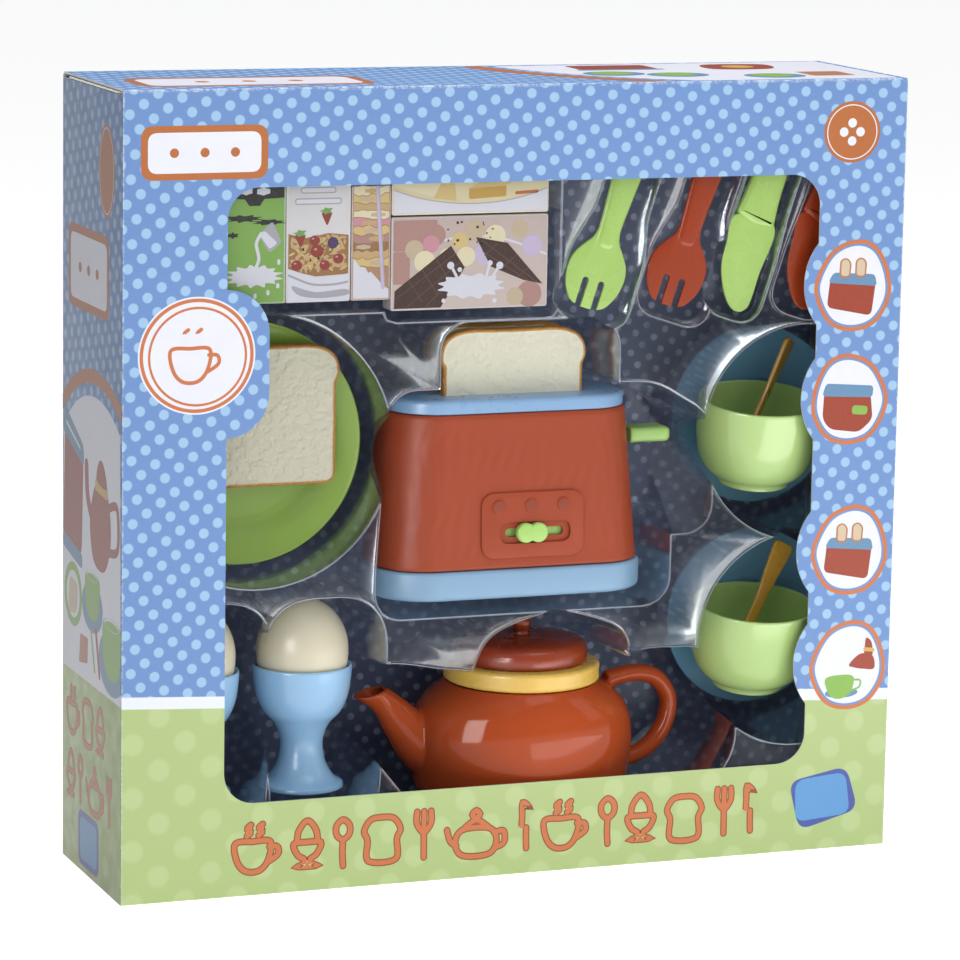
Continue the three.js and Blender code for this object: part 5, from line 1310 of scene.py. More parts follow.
def addCarriage():
    low, high = box("toaster_bread_carriage")
    start, end = low - toasterPlace, high - toasterPlace
    halfDepth = (high.y - low.y) / 2
    inner, outer = toaster["lifterArm"]
    bar, (armLow, armHigh) = toaster["lifterBar"], toaster["lifterHeights"]
    shelf = rectangle(start.x, -halfDepth, outer, halfDepth, 2)
    lifter = stacked("toaster_lifter", [(shelf, start.z), (shelf, start.z + 2)])
    upright = block("upright", (inner, -bar, start.z), (outer, bar, armHigh))
    arm = block("arm", (inner, -bar, armLow), (end.x, bar, armHigh))
    joined(lifter, upright, arm)
    return placed(lifter, toasterPlace)


def addLever():
    low, high = box("toaster_lever")
    shorter, halfWide, halfTall, corner = toaster["lever"]
    y, z, tip = (low.y + high.y) / 2, (low.z + high.z) / 2, toaster["leverTip"]
    outline = rectangle(-halfWide, -halfTall, halfWide, halfTall, corner)
    length = high.x - shorter - low.x
    levels = [(0, 0.6), (0.3, 0.2), (0.8, 0), (length * 0.35, 0.25), (length * 0.6, 0.1), (length - tip, 0)]
    levels += [(length - tip + tip * sin(a), tip * (1 - cos(a)) * 0.75) for a in (0.35, 0.7, 1.05, 1.3, pi / 2)]
    rings = [[(low.x + x, y + a, z + b) for a, b in grown(outline, -inset)] for x, inset in levels]
    paddle = loft("toaster_paddle", rings)
    socket = block("socket", (low.x - 4, y - 2.1, z - 2), (low.x + 9.3, y + 2.1, z + 2))
    return cut(paddle, socket)


def addKnob():
    lobe, half = toaster["knobLobe"], toaster["knobHalf"]
    waist = degrees(asin(half / lobe))
    outline = arc(half, 0, lobe, -90 - waist, 90 + waist, 28) + arc(-half, 0, lobe, 90 - waist, 270 + waist, 28)
    cap = slab("toaster_knob", withoutRepeats(outline), -4, 0, 1.1, 5)
    stem = block("stem", (-2.7, -0.1, -1.7), (2.7, 2.7, 1.7))
    clip = slab("clip", rectangle(-24, -3.2, 24, 3.2, 1), 2.6, 3.8, 0.2)
    joined(cap, stem, clip)
    return placed(onPanel(placed(cap, toaster["knob"])), toasterPlace)


toasterRed = plastic("toaster_red", toaster["red"], 0.4, 0.04, 0.5, 0.012, 0.1, 0.22)
toasterBlue = plastic("toaster_blue", toaster["blue"], 0.4, 0.03)
toasterGreen = plastic("toaster_green", toaster["green"], 0.3, 0.04)
dress(addShell(), "package", ["toaster_shell"], "toaster_red", toasterRed)
dress(hatch(), "package", [], "toaster_red", plastic("toaster_hatch", shade(toaster["red"], 0.8), 0.5))
dress(addBase(), "package", ["toaster_base"], "toaster_blue", toasterBlue)
toasterRim = plastic("toaster_rim_blue", toaster["rimBlue"], 0.3, 0.03)
dress(addRim(), "package", ["toaster_top_rim"], "toaster_blue", toasterRim)
dress(addCarriage(), "bread_lifter", ["toaster_bread_carriage"], "toaster_blue", toasterBlue)
dress(addLever(), "bread_lifter", ["toaster_lever"], "green_plastic", toasterGreen)
dress(addKnob(), "browning_knob", ["toaster_browning_knob"], "green_plastic", toasterGreen)


def steel():
    material, tree, shader, place = newMaterial("spring_wire")
    drawn = noise(tree, millimetres(tree, (1, 1, 0.2)), 0.3, 2)
    base = mixed(tree, noise(tree, place, 3, 2), ink(176, 180, 186), ink(214, 216, 220))
    finished(tree, shader, base, ranged(tree, drawn, 0.3, 0.7, 0.24, 0.4))
    shader.inputs["Metallic"].default_value = 1
    bumped(tree, shader, drawn, 0.01)
    return material


repaint("toaster_lift_spring", steel())
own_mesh(nodes["toaster_lift_spring"])
print("toaster built")

# Bread slices

bread = {
    "crumb": ink(222, 218, 196),
    "crumbDark": ink(190, 178, 146),
    "crust": ink(206, 156, 84),
    "crustDark": ink(176, 118, 56),
    "width": 72.3,
    "neck": 68.8,
    "height": 64.5,
    "shoulder": 52,
    "neckHeight": 47,
    "dip": 0.3,
    "thickness": 8,
    "crustWidth": 1.6,
    # The slice on the plate lies deep in its pocket, so its colour is darkened to this share as painted shade
    "plateShade": 0.7,
}


def bowed(start, control, end, steps=12):
    a, b, c = Vector(start), Vector(control), Vector(end)
    spots = [i / steps for i in range(steps)]
    return [tuple(a * (1 - t) ** 2 + b * (2 * t * (1 - t)) + c * t * t) for t in spots]


def sliceOutline():
    half, neck, tall = bread["width"] / 2, bread["neck"] / 2, bread["height"]
    shoulder, low, foot = bread["shoulder"], bread["neckHeight"], 6
    turn = shoulder - (tall - shoulder) / 4
    right = bowed((neck - foot, 0), (neck, 0), (neck, foot))
    right += [(neck, foot), (neck, low)]
    right += bowed((neck, low), (half, turn), (half, shoulder))
    right += bowed((half, shoulder), (half, tall), (half / 2, tall))
    right += bowed((half / 2, tall), (half / 4, tall - bread["dip"] * 0.9), (0, tall - bread["dip"]))
    left = [(-x, z) for x, z in reversed(right)]
    outline = right + [(0, tall - bread["dip"])] + left
    return withoutRepeats(outline)


def breadMaterial(name, shadeShare):
    material, tree, shader, place = newMaterial(name)
    attribute = tree.nodes.new("ShaderNodeAttribute")
    attribute.attribute_name = "crust"
    uneven = maths(tree, "MULTIPLY_ADD", noise(tree, place, 5, 3), 0.5, -0.25)
    edge = maths(tree, "ADD", attribute.outputs["Fac"], uneven)
    clouds = noise(tree, place, 9, 4, 0.6)
    pores = noise(tree, place, 1.5, 3, 0.6)
    crumb = mixed(tree, clouds, shade(bread["crumb"], 0.95), shade(bread["crumb"], 1.05))
    crumb = mixed(tree, ranged(tree, pores, 0.55, 0.75, 0, 0.14), crumb, bread["crumbDark"])
    brown = mixed(tree, noise(tree, place, 7, 3), bread["crust"], bread["crustDark"])
    colour = mixed(tree, ranged(tree, edge, 0.35, 0.65), crumb, brown)
    # Painted shade: the colour is mixed towards black by what the share leaves out
    colour = mixed(tree, 1 - shadeShare, colour, [0, 0, 0, 1])
    finished(tree, shader, colour, 0.55, 0.3)
    dimples = ranged(tree, noise(tree, place, 3.2, 1), 0.35, 0.6)
    bumped(tree, shader, maths(tree, "MULTIPLY_ADD", pores, 0.35, dimples), 0.35)
    return material


sliceFinish = breadMaterial("bread_slice", 1)
plateSliceShaded = breadMaterial("bread_slice_on_plate", bread["plateShade"])


def addSlice(name, node, body, material=sliceFinish):
    outline = evenly(sliceOutline(), 1)
    thick = bread["thickness"]
    loaf = slab(name, outline, -thick / 2 + 0.3, thick / 2 - 0.3, 1.4, 4)
    remeshed(loaf, 0.7, 3)
    places = placesOf(loaf)
    line = np.array(outline)
    across, up = places[:, 0], places[:, 2]
    away = np.min(np.hypot(across[:, None] - line[None, :, 0], up[:, None] - line[None, :, 1]), axis=1)
    facing = np.clip((np.abs(places[:, 1]) - thick / 2 + 2.2) / 1.4, 0, 1)
    crust = 1 - np.clip((away - bread["crustWidth"] + 0.6) / 1.2, 0, 1) * facing
    # The crumb is open and uneven, and the crust stands a little proud of it
    swell = np.zeros(len(places))
    for size, height in ((11, 0.32), (5, 0.22), (2.2, 0.18)):
        turn = random.Random(size).uniform(0, 6)
        wave = np.sin(across / size * 2.1 + turn + 1.7 * np.sin(up / size * 1.3))
        swell += height * wave * np.sin(up / size * 1.9 + turn * 2 + 1.4 * np.sin(across / size * 1.7))
    inner = (1 - crust) * facing
    places[:, 1] -= np.sign(places[:, 1]) * inner * (0.35 + 0.5 * np.abs(swell))
    setPlaces(loaf, places)
    layer = loaf.data.attributes.new("crust", "FLOAT", "POINT")
    layer.data.foreach_set("value", crust.astype(np.float32))
    placed(loaf, footOf(node))
    dress(loaf, body, [node], "bread", material)


addSlice("bread_front", "toast_front", "bread_lifter")
addSlice("bread_rear", "toast_rear", "bread_lifter")
addSlice("bread_on_plate", "toast_on_plate", "package", plateSliceShaded)
print("bread sliced")

# Plates and saucers

dishes = {
    "plateGreen": ink(132, 163, 68),
    "saucerBlue": ink(108, 158, 190),
    "plate": (56, 7, 2, 37),  # radius, depth, thickness, radius of the well
    "saucer": (42.8, 5, 1.8, 18),
}


def dishProfile(radius, depth, thick, well):
    slope = radius - well
    upper = [
        (0, -depth),
        (well * 0.5, -depth),
        (well - 2, -depth),
        (well - 0.4, -depth + 0.25),
        (well + slope * 0.1, -depth * 0.9),
        (well + slope * 0.22, -depth * 0.76),
        (radius - slope * 0.55, -depth * 0.45),
        (radius - slope * 0.33, -depth * 0.25),
        (radius - slope * 0.12, -depth * 0.1),
        (radius - 1, -0.15),
    ]
    fine = smoothLine(upper[2:], 6)
    face = upper[:2] + fine
    rim = [(radius - 0.5, 0), (radius - 0.12, -0.25), (radius, -0.8), (radius - 0.12, -thick + 0.4)]
    rim += [(radius - 0.5, -thick + 0.05)]
    under = [(r, z - thick) for r, z in reversed(face)]
    return face + rim + under


def addDish(name, node, kind, slotName, material):
    low, high = box(node)
    dish = turned(name, dishProfile(*dishes[kind]), 160, 40)
    turn = Matrix.Rotation(pi / 2, 4, "X")
    placed(dish, ((low.x + high.x) / 2, low.y, (low.z + high.z) / 2), turn)
    dress(dish, "package", [node], slotName, material)


plateFinish = plastic("plate_green", dishes["plateGreen"], 0.36, 0.04)
saucerFinish = plastic("saucer_blue", dishes["saucerBlue"], 0.34, 0.04)
addDish("plate_first", "plate_front", "plate", "plate_green", plateFinish)
addDish("plate_second", "plate_rear", "plate", "plate_green", plateFinish)
addDish("saucer_low", "saucer_lower", "saucer", "saucer_blue", saucerFinish)
addDish("saucer_high", "saucer_upper", "saucer", "saucer_blue", saucerFinish)
print("dishes turned")

# Cups, with spoons standing in them

cups = {
    "green": ink(180, 210, 133),
    "ochre": ink(201, 152, 52),
    "shift": 9.4,  # to the left of the saucer's middle
    "foot": 28.8,  # below the saucer's middle
    "y": -10.35,
    "lean": 9,
    "radius": 29.5,
    "height": 41.5,
    "wall": 1.8,
    "floor": 2.6,
    "handleReach": 14,
    "handle": (2.6, 3.6),  # radius across and along the depth
    "spoonLean": 26,
    "spoonTip": 12,
    "spoonTwists": {"lower": 0, "upper": 46},
    "spoonPlace": (-7.5, 0, 15.74),
    "spoonHead": (7.5, 4.4, 12),  # half its width, depth and length
    "spoonLength": 58,  # from the head's middle
}
cupShares = [(0.6, 0), (0.79, 0.1), (0.92, 0.27), (0.985, 0.5), (1, 0.75), (0.998, 0.975)]


def cupProfiles():
    radius, tall, wall, floor = (cups[key] for key in ("radius", "height", "wall", "floor"))
    outer = smoothLine([(r * radius, floor + z * (tall - floor)) for r, z in cupShares], 8)
    inner = [(r - wall, max(z, floor + wall)) for r, z in outer]
    return outer, inner


def addCup(name, saucerNode):
    outer, inner = cupProfiles()
    radius, tall, wall, floor = (cups[key] for key in ("radius", "height", "wall", "floor"))
    foot = [(0, 1), (15.2, 1), (15.4, 0.2), (15.8, 0), (16.6, 0), (17, 0.3), (17, 1.6), (17.3, 2.3)]
    lip = [
        (radius - 0.2, tall - 0.35), (radius - 0.7, tall), (radius - wall + 0.6, tall),
        (radius - wall, tall - 0.5),
    ]
    profile = foot + outer + lip + list(reversed(inner[:-1])) + [(8, floor + wall), (0, floor + wall)]
    bowl = turned(name, profile, 160, 40)
    reach = radius + cups["handleReach"]
    line = [(radius - 2.2, 34), ((radius + reach) / 2, 34.3), (reach - 2.6, 28.75), (reach - 5.2, 20.9)]
    line += [(radius - 1.6, 13)]
    ear = bentRod("ear", line, *cups["handle"], 8, 28)
    hollow = [(0, floor + wall)] + inner[1:] + [(radius - wall, tall + 4), (0, tall + 4)]
    ear = cut(ear, turned("hollow", [(max(r, 0), z) for r, z in hollow], 96), angle=60)
    joined(bowl, ear, angle=40)
    saucer = middleOf(saucerNode)
    turn = Matrix.Rotation(radians(cups["lean"]), 4, "X")
    offset = (saucer.x - cups["shift"], cups["y"], saucer.z - cups["foot"])
    return placed(bowl, offset, turn), offset, turn


def addSpoon(name, offset, cupTurn, twist):
    wide, deep, half = cups["spoonHead"]
    top = cups["spoonLength"]
    outline = [
        (-2.5, 9.2), (2.5, 9.2), (2.5, top / 2), (5, top - 5), (5, top), (-5, top), (-5, top - 5),
        (-2.5, top / 2),
    ]
    stem = slab(name, evenly(roundedPolygon(outline, 5, 8), 0.6), -1.1, 1.1, 0.6)
    rings = 20
    outside, inside = [], []
    for store, thinner in ((outside, 0), (inside, 1.4)):
        for i in range(rings + 1):
            a = -pi / 2 + pi * i / rings
            share = cos(a)
            ring = []
            for k in range(32):
                b = 2 * pi * k / 32
                x, y = (wide - thinner) * share * cos(b), (deep - thinner) * share * sin(b)
                ring.append((x, y, (half - thinner) * sin(a)))
            store.append(ring)
    bowl = loft("bowl", outside)
    cut(bowl, loft("scoop", inside), block("face", (-12, -10, -20), (12, 0, 20)))
    joined(bowl, stem, angle=40)
    bowl.name = name
    placed(bowl, turn=Matrix.Rotation(radians(twist), 4, "Z"))
    tipped = Matrix.Rotation(-radians(cups["spoonTip"]), 4, "X")
    placed(bowl, cups["spoonPlace"], tipped @ Matrix.Rotation(radians(cups["spoonLean"]), 4, "Y"))
    return placed(bowl, offset, cupTurn)


cupFinish = plastic("cup_green", cups["green"], 0.14, 0.03, 0.7, 0.006, 0.1)
spoonFinish = plastic("spoon_ochre", cups["ochre"], 0.32, 0.05)
for name, twist in cups["spoonTwists"].items():
    piece, offset, turn = addCup("cup_bowl_" + name, "saucer_" + name)
    dress(piece, "package", ["cup_" + name], "cup_green", cupFinish)
    spoon = addSpoon("stirring_spoon_" + name, offset, turn, twist)
    dress(spoon, "package", ["spoon_" + name], "spoon_ochre", spoonFinish)
print("cups and spoons made")

# Egg cups and eggs

eggs = {
    "blue": ink(149, 191, 226),
    "shell": ink(215, 207, 182),
    "cupHeight": 58.2,
    "room": 0.45,  # between the egg and its cup
    "radius": 21.3,
    "above": 23.9,
    "below": 32,
    "middle": 65,  # the egg's widest place above the cup's foot
}


def addEggCup(name, node):
    foot = [(0, 1.2), (15, 1.2), (17.3, 0.1), (18.9, 0), (19.5, 0.5), (19.5, 1.7), (19.1, 2.4)]
    stem = [(19.1, 2.4), (15.2, 5), (11.6, 11), (10, 18), (10.3, 24), (13, 30.5), (18, 36), (21.2, 43)]
    stem = smoothLine(stem + [(22.6, 51), (23.1, 57.2)], 8)
    lip = [(23, 57.8), (22.6, 58.2), (22.2, 58.1)]
    wide, deep = eggs["radius"] + eggs["room"], eggs["below"] + eggs["room"]
    angles = [-pi / 2 + radians(76) * i / 18 for i in range(19)]
    seat = [(wide * cos(a), eggs["middle"] + deep * sin(a)) for a in angles]
    seat = [(r, z) for r, z in seat if z < eggs["cupHeight"] - 0.7]
    seat[0] = (0, seat[0][1])
    cupPiece = turned(name, foot + stem[1:] + lip + list(reversed(seat)), 144, 40)
    return placed(cupPiece, footOf(node))


def addEgg(name, node):
    low, high = box(node)
    profile = []
    for i in range(49):
        a = -pi / 2 + pi * i / 48
        reach = eggs["below"] if a < 0 else eggs["above"]
        profile.append((max(0, eggs["radius"] * cos(a)), reach * sin(a)))
    profile[0], profile[-1] = (0, profile[0][1]), (0, profile[-1][1])
    shell = turned(name, profile, 128, 180)
    return placed(shell, ((low.x + high.x) / 2, (low.y + high.y) / 2, high.z - eggs["above"]))


eggCupFinish = plastic("egg_cup_blue", eggs["blue"], 0.2, 0.04)
eggFinish = plastic("egg_shell", eggs["shell"], 0.34, 0.05, 0.45, 0.012, 0.06, 0.4)
for side in ("left", "right"):
    cup, egg = "egg_cup_" + side, "egg_" + side
    dress(addEggCup("egg_stand_" + side, cup), "package", [cup], "egg_cup_blue", eggCupFinish)
    dress(addEgg("boiled_egg_" + side, egg), "package", [egg], "egg_shell", eggFinish)
print("egg cups filled")

# Teapot, in its own frame: the middle of the body, on its bottom

teapot = {
    "brown": ink(174, 74, 36),
    "yellow": ink(226, 186, 88),
    "lidBrown": ink(152, 58, 28),
    "halfWidth": 54,
    "depth": 86,
    "height": 70,
    "mouth": 35,
    "wall": 2,
    "place": (20, -2, 12),
    "handle": (4.2, 5),  # radius across and along the depth
    "spoutWall": 1.8,
    "collar": (26, 37, 2),  # bore, outer radius and the roundness of its edge
}
bellyShares = [
    (0, -0.25), (0.03, 0.02), (0.14, 0.5), (0.3, 0.85), (0.5, 1), (0.68, 1), (0.83, 0.82), (0.93, 0.46),
    (1, 0.06),
]
spoutShares = [
    (0.62, 0.42, 0.25, 35), (0.9, 0.57, 0.23, 45), (1.11, 0.757, 0.178, 55), (1.26, 0.893, 0.13, 60),
    (1.407, 0.971, 0.152, 75),
]
handleShares = [
    (0.8, 0.95), (1.06, 0.985), (1.27, 0.945), (1.4, 0.8), (1.37, 0.62), (1.22, 0.47), (1.02, 0.4),
    (0.82, 0.39),
]


def bellyRings(name, inset, shares):
    mouth = teapot["mouth"]
    levels = []
    for share, bulge in smoothLine(shares, 6):
        reachX = mouth + (teapot["halfWidth"] - mouth) * bulge - inset
        reachY = mouth + (teapot["depth"] / 2 - mouth) * bulge - inset
        z = min(teapot["height"], max(2.6 if inset else 0, share * teapot["height"]))
        levels.append((circle(0, 0, reachX, 120, reachY), z + 0.001 * len(levels)))
    if inset:
        levels.append((levels[-1][0], teapot["height"] + 4))
    return stacked(name, levels)


def spoutBar(name, thinner, past):
    half, tall = teapot["halfWidth"], teapot["height"]
    middles = []
    for out, up, radius, turn in smoothLine(spoutShares, 8):
        way = pi - radians(turn)
        middles.append([-out * half, up * tall, radius * half - thinner, radius * half - thinner, way])
    if past:
        x, z, radius, deep, way = middles[-1]
        middles.append([x + past * cos(way), z + past * sin(way), radius, deep, way])
    return bentBar(name, middles, 48)


def addTeapot():
    pot = bellyRings("teapot_pot", 0, bellyShares)
    half, tall = teapot["halfWidth"], teapot["height"]
    line = [(out * half, up * tall) for out, up in handleShares]
    handle = bentRod("handle", line, *teapot["handle"], 10, 32)
    joined(pot, handle, spoutBar("spout", 0, 0))
    inside = bellyRings("inside", teapot["wall"], bellyShares[1:])
    cut(pot, inside, spoutBar("bore", teapot["spoutWall"], 4))
    remeshed(pot, 0.8, 6)
    return placed(pot, teapot["place"])


def addCollar():
    low, high = box("teapot_collar")
    (bore, outer, bend), tall = teapot["collar"], high.z - low.z
    profile = [(bore, 0), (outer - bend, 0)]
    profile += [(outer - bend + bend * sin(a), bend * (1 - cos(a))) for a in quarter(6)]
    profile += [(outer - 0.25, tall / 2)]
    profile += [(outer - bend + bend * cos(a), tall - bend + bend * sin(a)) for a in quarter(6)]
    profile += [(bore, tall), (bore, 0)]
    return placed(turned("teapot_ring", profile, 160), footOf("teapot_collar"))


def addPotLid():
    under = [(0, 0.3), (23.8, 0.3), (23.8, -4), (25.4, -4), (25.4, 0)]
    skirt = [(30.2, 0), (30.8, 0.25), (31, 0.9), (31, 5.4), (30.7, 6.3)]
    crown = smoothLine(
        [(30.7, 6.3), (29.4, 8.6), (26.6, 10.2), (20, 11.3), (12, 11.75), (5.6, 11.75), (3.6, 12.1)], 6,
    )
    knob = smoothLine([(3.6, 12.1), (3.35, 13.4), (4, 15.2), (4.3, 17.2), (3.6, 19), (2, 19.9)], 6)
    profile = under + skirt + crown[1:] + knob[1:] + [(0, 20)]
    lid = turned("teapot_cover", profile, 144, 40)
    return placed(lid, footOf("teapot_lid", 4))


glaze = plastic("teapot_brown", teapot["brown"], 0.08, 0.03, 0.8, 0.004, 0.08, 0.2)
dress(addTeapot(), "package", ["teapot_body"], "pot_brown", glaze)
collarFinish = plastic("collar_yellow", teapot["yellow"], 0.28, 0.04)
dress(addCollar(), "package", ["teapot_collar"], "collar_yellow", collarFinish)
dress(addPotLid(), "pot_lid", ["teapot_lid"], "lid_brown", plastic("lid_brown", teapot["lidBrown"], 0.22, 0.04))
print("teapot made")

# Forks and knives, with the tip at the bottom and the handle up

cutlery = {
    "green": ink(157, 192, 97),
    "red": ink(150, 56, 24),
    "tilt": 18,
    "fork": (262.5, 2.4),  # height of the tip, and how far it stands before the node's back
    "knife": (260.2, 3.6),
    "slots": (-4.1, 4.1),
    "slotWidth": 3.2,
    "slotLength": 14,
}


def forkHead():
    right = smoothLine(
        [(3.4, 0.2), (9, 2.4), (13.2, 9), (14.7, 16.5), (13.6, 23), (10, 28.6), (6.6, 33), (5.4, 38)], 6,
    )
    return right + [(-x, z) for x, z in reversed(right)]


# A handle with a rounded front, which stands a little proud of the head or the blade
def domed(name, outline, back, dome):
    outline = evenly(outline, 0.8)
    levels = [
        (0, 1), (0.12, 0.72), (0.36, 0.46), (0.75, 0.22), (1.25, 0.06), (1.7, 0), (back - 0.5, 0), (back, 0.14),
    ]
    rings = [[(x, y, z) for x, z in grown(outline, -max(dome * share, 0.002))] for y, share in levels]
    return loft(name, rings)


def addFork(name):
    fork = slab(name, evenly(forkHead(), 0.7), 0.8, 2.4, 0.6)
    slots = []
    low, high, half = -4, cutlery["slotLength"], cutlery["slotWidth"] / 2
    for x in cutlery["slots"]:
        corners = [(x - half, low, 0.1), (x + half, low, 0.1), (x + half, high, half), (x - half, high, half)]
        slots.append(slab("slot", roundedPolygon(corners, 0.1), -4, 8))
    cut(fork, *slots)
    corners = [
        (-5.2, 28, 5), (5.2, 28, 5), (5.6, 42, 6), (8.8, 84, 20), (8.8, 99.9, 8), (-8.8, 99.9, 8),
        (-8.8, 84, 20), (-5.6, 42, 6),
    ]
    return joined(fork, domed("handle", roundedPolygon(corners, 4), 2.4, 3))


def bladeOutline():
    edge = [(5.6, 0), (9, 2), (10.5, 6.5), (10.5, 20), (10.5, 43)]
    cutting = [(-10.4, 43), (-10.5, 30), (-9.2, 18), (-4.6, 8), (0.8, 1.6)]
    return smoothLine(edge + cutting, 8, closed=True)


def addKnife(name):
    blade = slab(name, evenly(bladeOutline(), 0.7), 0.9, 2.4, 0.6)
    corners = [
        (-10.2, 44, 2), (0, 40.4, 14), (10.3, 42, 1.5), (8.9, 54, 10), (8.75, 99.9, 8), (-8.75, 99.9, 8),
        (-8.2, 58, 10),
    ]
    return joined(blade, domed("handle", roundedPolygon(corners, 2), 3.6, 2.6))


def settled(piece, node, x):
    z, depth = cutlery[node.split("_")[0]]
    turn = Matrix.Rotation(radians(cutlery["tilt"]), 4, "Y")
    return placed(piece, (x, box(node)[1].y - depth, z), turn)


greenCutlery = plastic("cutlery_green", cutlery["green"], 0.26, 0.04)
redCutlery = plastic("cutlery_red", cutlery["red"], 0.24, 0.04, specular=0.25)
for node, x, shape, slotName, material in (
    ("fork_green", 33.7, addFork, "green_plastic", greenCutlery),
    ("fork_red", 74, addFork, "red_gloss", redCutlery),
    ("knife_green", 104.4, addKnife, "green_plastic", greenCutlery),
    ("knife_red", 137.9, addKnife, "red_gloss", redCutlery),
):
    dress(settled(shape("toy_" + node), node, x), "package", [node], slotName, material)
print("cutlery cut")

# Food packets, each with a plain printed front

food = {
    "milk": ink(132, 178, 84),
    "cereal": ink(222, 220, 222),
    "cookie": ink(176, 134, 100),
    "chocolate": ink(206, 188, 182),
    "butter": ink(224, 212, 172),
    # Painted shade: the packets' boards and prints are darkened to this share for the shade they stand in
    "shadeShare": 0.7,
    "inset": 0.12,
}
inkColours.update({
    "black": ink(44, 44, 46),
    "flake": ink(206, 176, 128),
    "flakeDark": ink(160, 118, 74),
    "berry": ink(150, 62, 52),
    "plum": ink(84, 58, 104),
    "leaf": ink(120, 170, 90),
    "shadow": ink(176, 176, 184),
    "cocoa": ink(66, 42, 34),
    "cocoaPale": ink(104, 74, 62),
    "pink": ink(214, 150, 164),
    "rose": ink(184, 142, 134),
    "sand": ink(222, 196, 132),
    "lilac": ink(206, 192, 222),
    "cream": ink(236, 226, 190),
})


# The packets' boards show white at the folds
def packetBoard(name, colour, node):
    material, tree, shader, place = newMaterial(name)
    low, high = box(node)
    along = axes(tree, place)
    edges = []
    for axis, start, end in ((0, low.x, high.x), (2, low.z, high.z)):
        away = maths(tree, "ABSOLUTE", maths(tree, "SUBTRACT", along[axis], (start + end) / 2))
        edges.append(ranged(tree, away, (end - start) / 2 - 0.9, (end - start) / 2 - 0.25))
    worn = maths(tree, "MULTIPLY", maths(tree, "MAXIMUM", *edges), noise(tree, place, 1.2, 3))
    # Painted shade on the board and on its white folds
    shadeShare = food["shadeShare"]
    base = mixed(tree, noise(tree, place, 12, 3), shade(colour, 0.94 * shadeShare), shade(colour, 1.05 * shadeShare))
    base = mixed(tree, worn, base, shade(ink(238, 238, 240), shadeShare))
    finished(tree, shader, base, 0.3)
    bumped(tree, shader, noise(tree, place, 14, 2), 0.12)
    return material


def stickOn(name, node):
    low = box(node)[0]
    front = lambda across, up, lift: (low.x + across, low.y + food["inset"] - lift, low.z + up)
    # The prints on the packets take the same painted shade as their boards
    return stick(name, front, shadeShare=food["shadeShare"], slotName="food_white")


def addPacket(kind, slotName):
    node = kind + "_box"
    low, high = box(node)
    outline = rectangle(low.x, low.z, high.x, high.z, 1.2, 6)
    packet = slab(kind + "_packet", outline, low.y + food["inset"], high.y, 0.5)
    dress(packet, "package", [node], slotName, packetBoard(kind + "_print", food[kind], node))
    return stickOn(kind + "_art", node)


def blot(x, z, half, tall, spikes, rough, seed):
    turn = random.Random(seed)
    spots = []
    for i in range(spikes * 2):
        a = pi * i / spikes
        reach = 1 + (rough if i % 2 else -rough) * turn.uniform(0.4, 1)
        spots.append((x + half * reach * cos(a), z + tall * reach * sin(a)))
    return smoothShape(spots, 0.4)


def addMilk():
    low, high = box("milk_carton")
    depth = high.y - low.y
    mid, front = depth / 2, food["inset"]
    side = [
        (front + 0.4, 0), (depth - 0.4, 0), (depth, 0.4), (depth, 57.6), (depth - 0.5, 58.5), (mid + 0.9, 70),
        (mid + 0.8, 75), (mid - 0.8, 75), (mid - 0.9, 70), (front + 0.5, 58.5), (front, 57.6), (front, 0.4),
    ]
    rings = [[(x, low.y + y, low.z + z) for y, z in side] for x in (low.x, high.x)]
    packet = loft("milk_packet", rings, 20)
    board = packetBoard("milk_print", food["milk"], "milk_carton")
    dress(packet, "package", ["milk_carton"], "food_white", board)
    add, done = stickOn("milk_art", "milk_carton")
    field = [(0.6, 47.6), (9, 47), (11, 44), (16, 44), (18, 47), (27.4, 47.4), (27.4, 56.6), (0.6, 56.6)]
    add("black", 1, [field])
    patches = [(9.6, 50.6, 3, 1.6), (17.6, 50.4, 3.2, 1.7), (13.6, 55, 4, 1.6)]
    add("white", 2, *[blot(*patch, 6, 0.12, i) for i, patch in enumerate(patches)])
    for blotch in ((8, 38.4, 8, 1.5, 9, 0.3, 3), (20, 36.6, 7, 1.2, 8, 0.3, 4), (3.4, 31, 2.6, 1.2, 6, 0.3, 5)):
        add("black", 1, blot(*blotch))
    add("white", 1, blot(13.4, 12.4, 12, 4.6, 13, 0.2, 6))
    drops = [(3, 5), (8, 4), (14, 3.6), (20, 5), (24.6, 8), (25, 18.6)]
    add("white", 1, *[blot(*drop, 0.8, 1.3, 4, 0.1, i) for i, drop in enumerate(drops)])
    add("white", 2, curved([(13, 14), (15.6, 20), (14.4, 27), (16.6, 31.6)], 1.5))
    add("shadow", 2, cornered(2, (15.4, 31), (20.4, 22.6), (26.4, 27.4), (22, 37.2)))
    add("white", 3, cornered(1.4, (16, 31), (20.6, 24.4), (24.4, 27.2), (18, 33)))
    done()


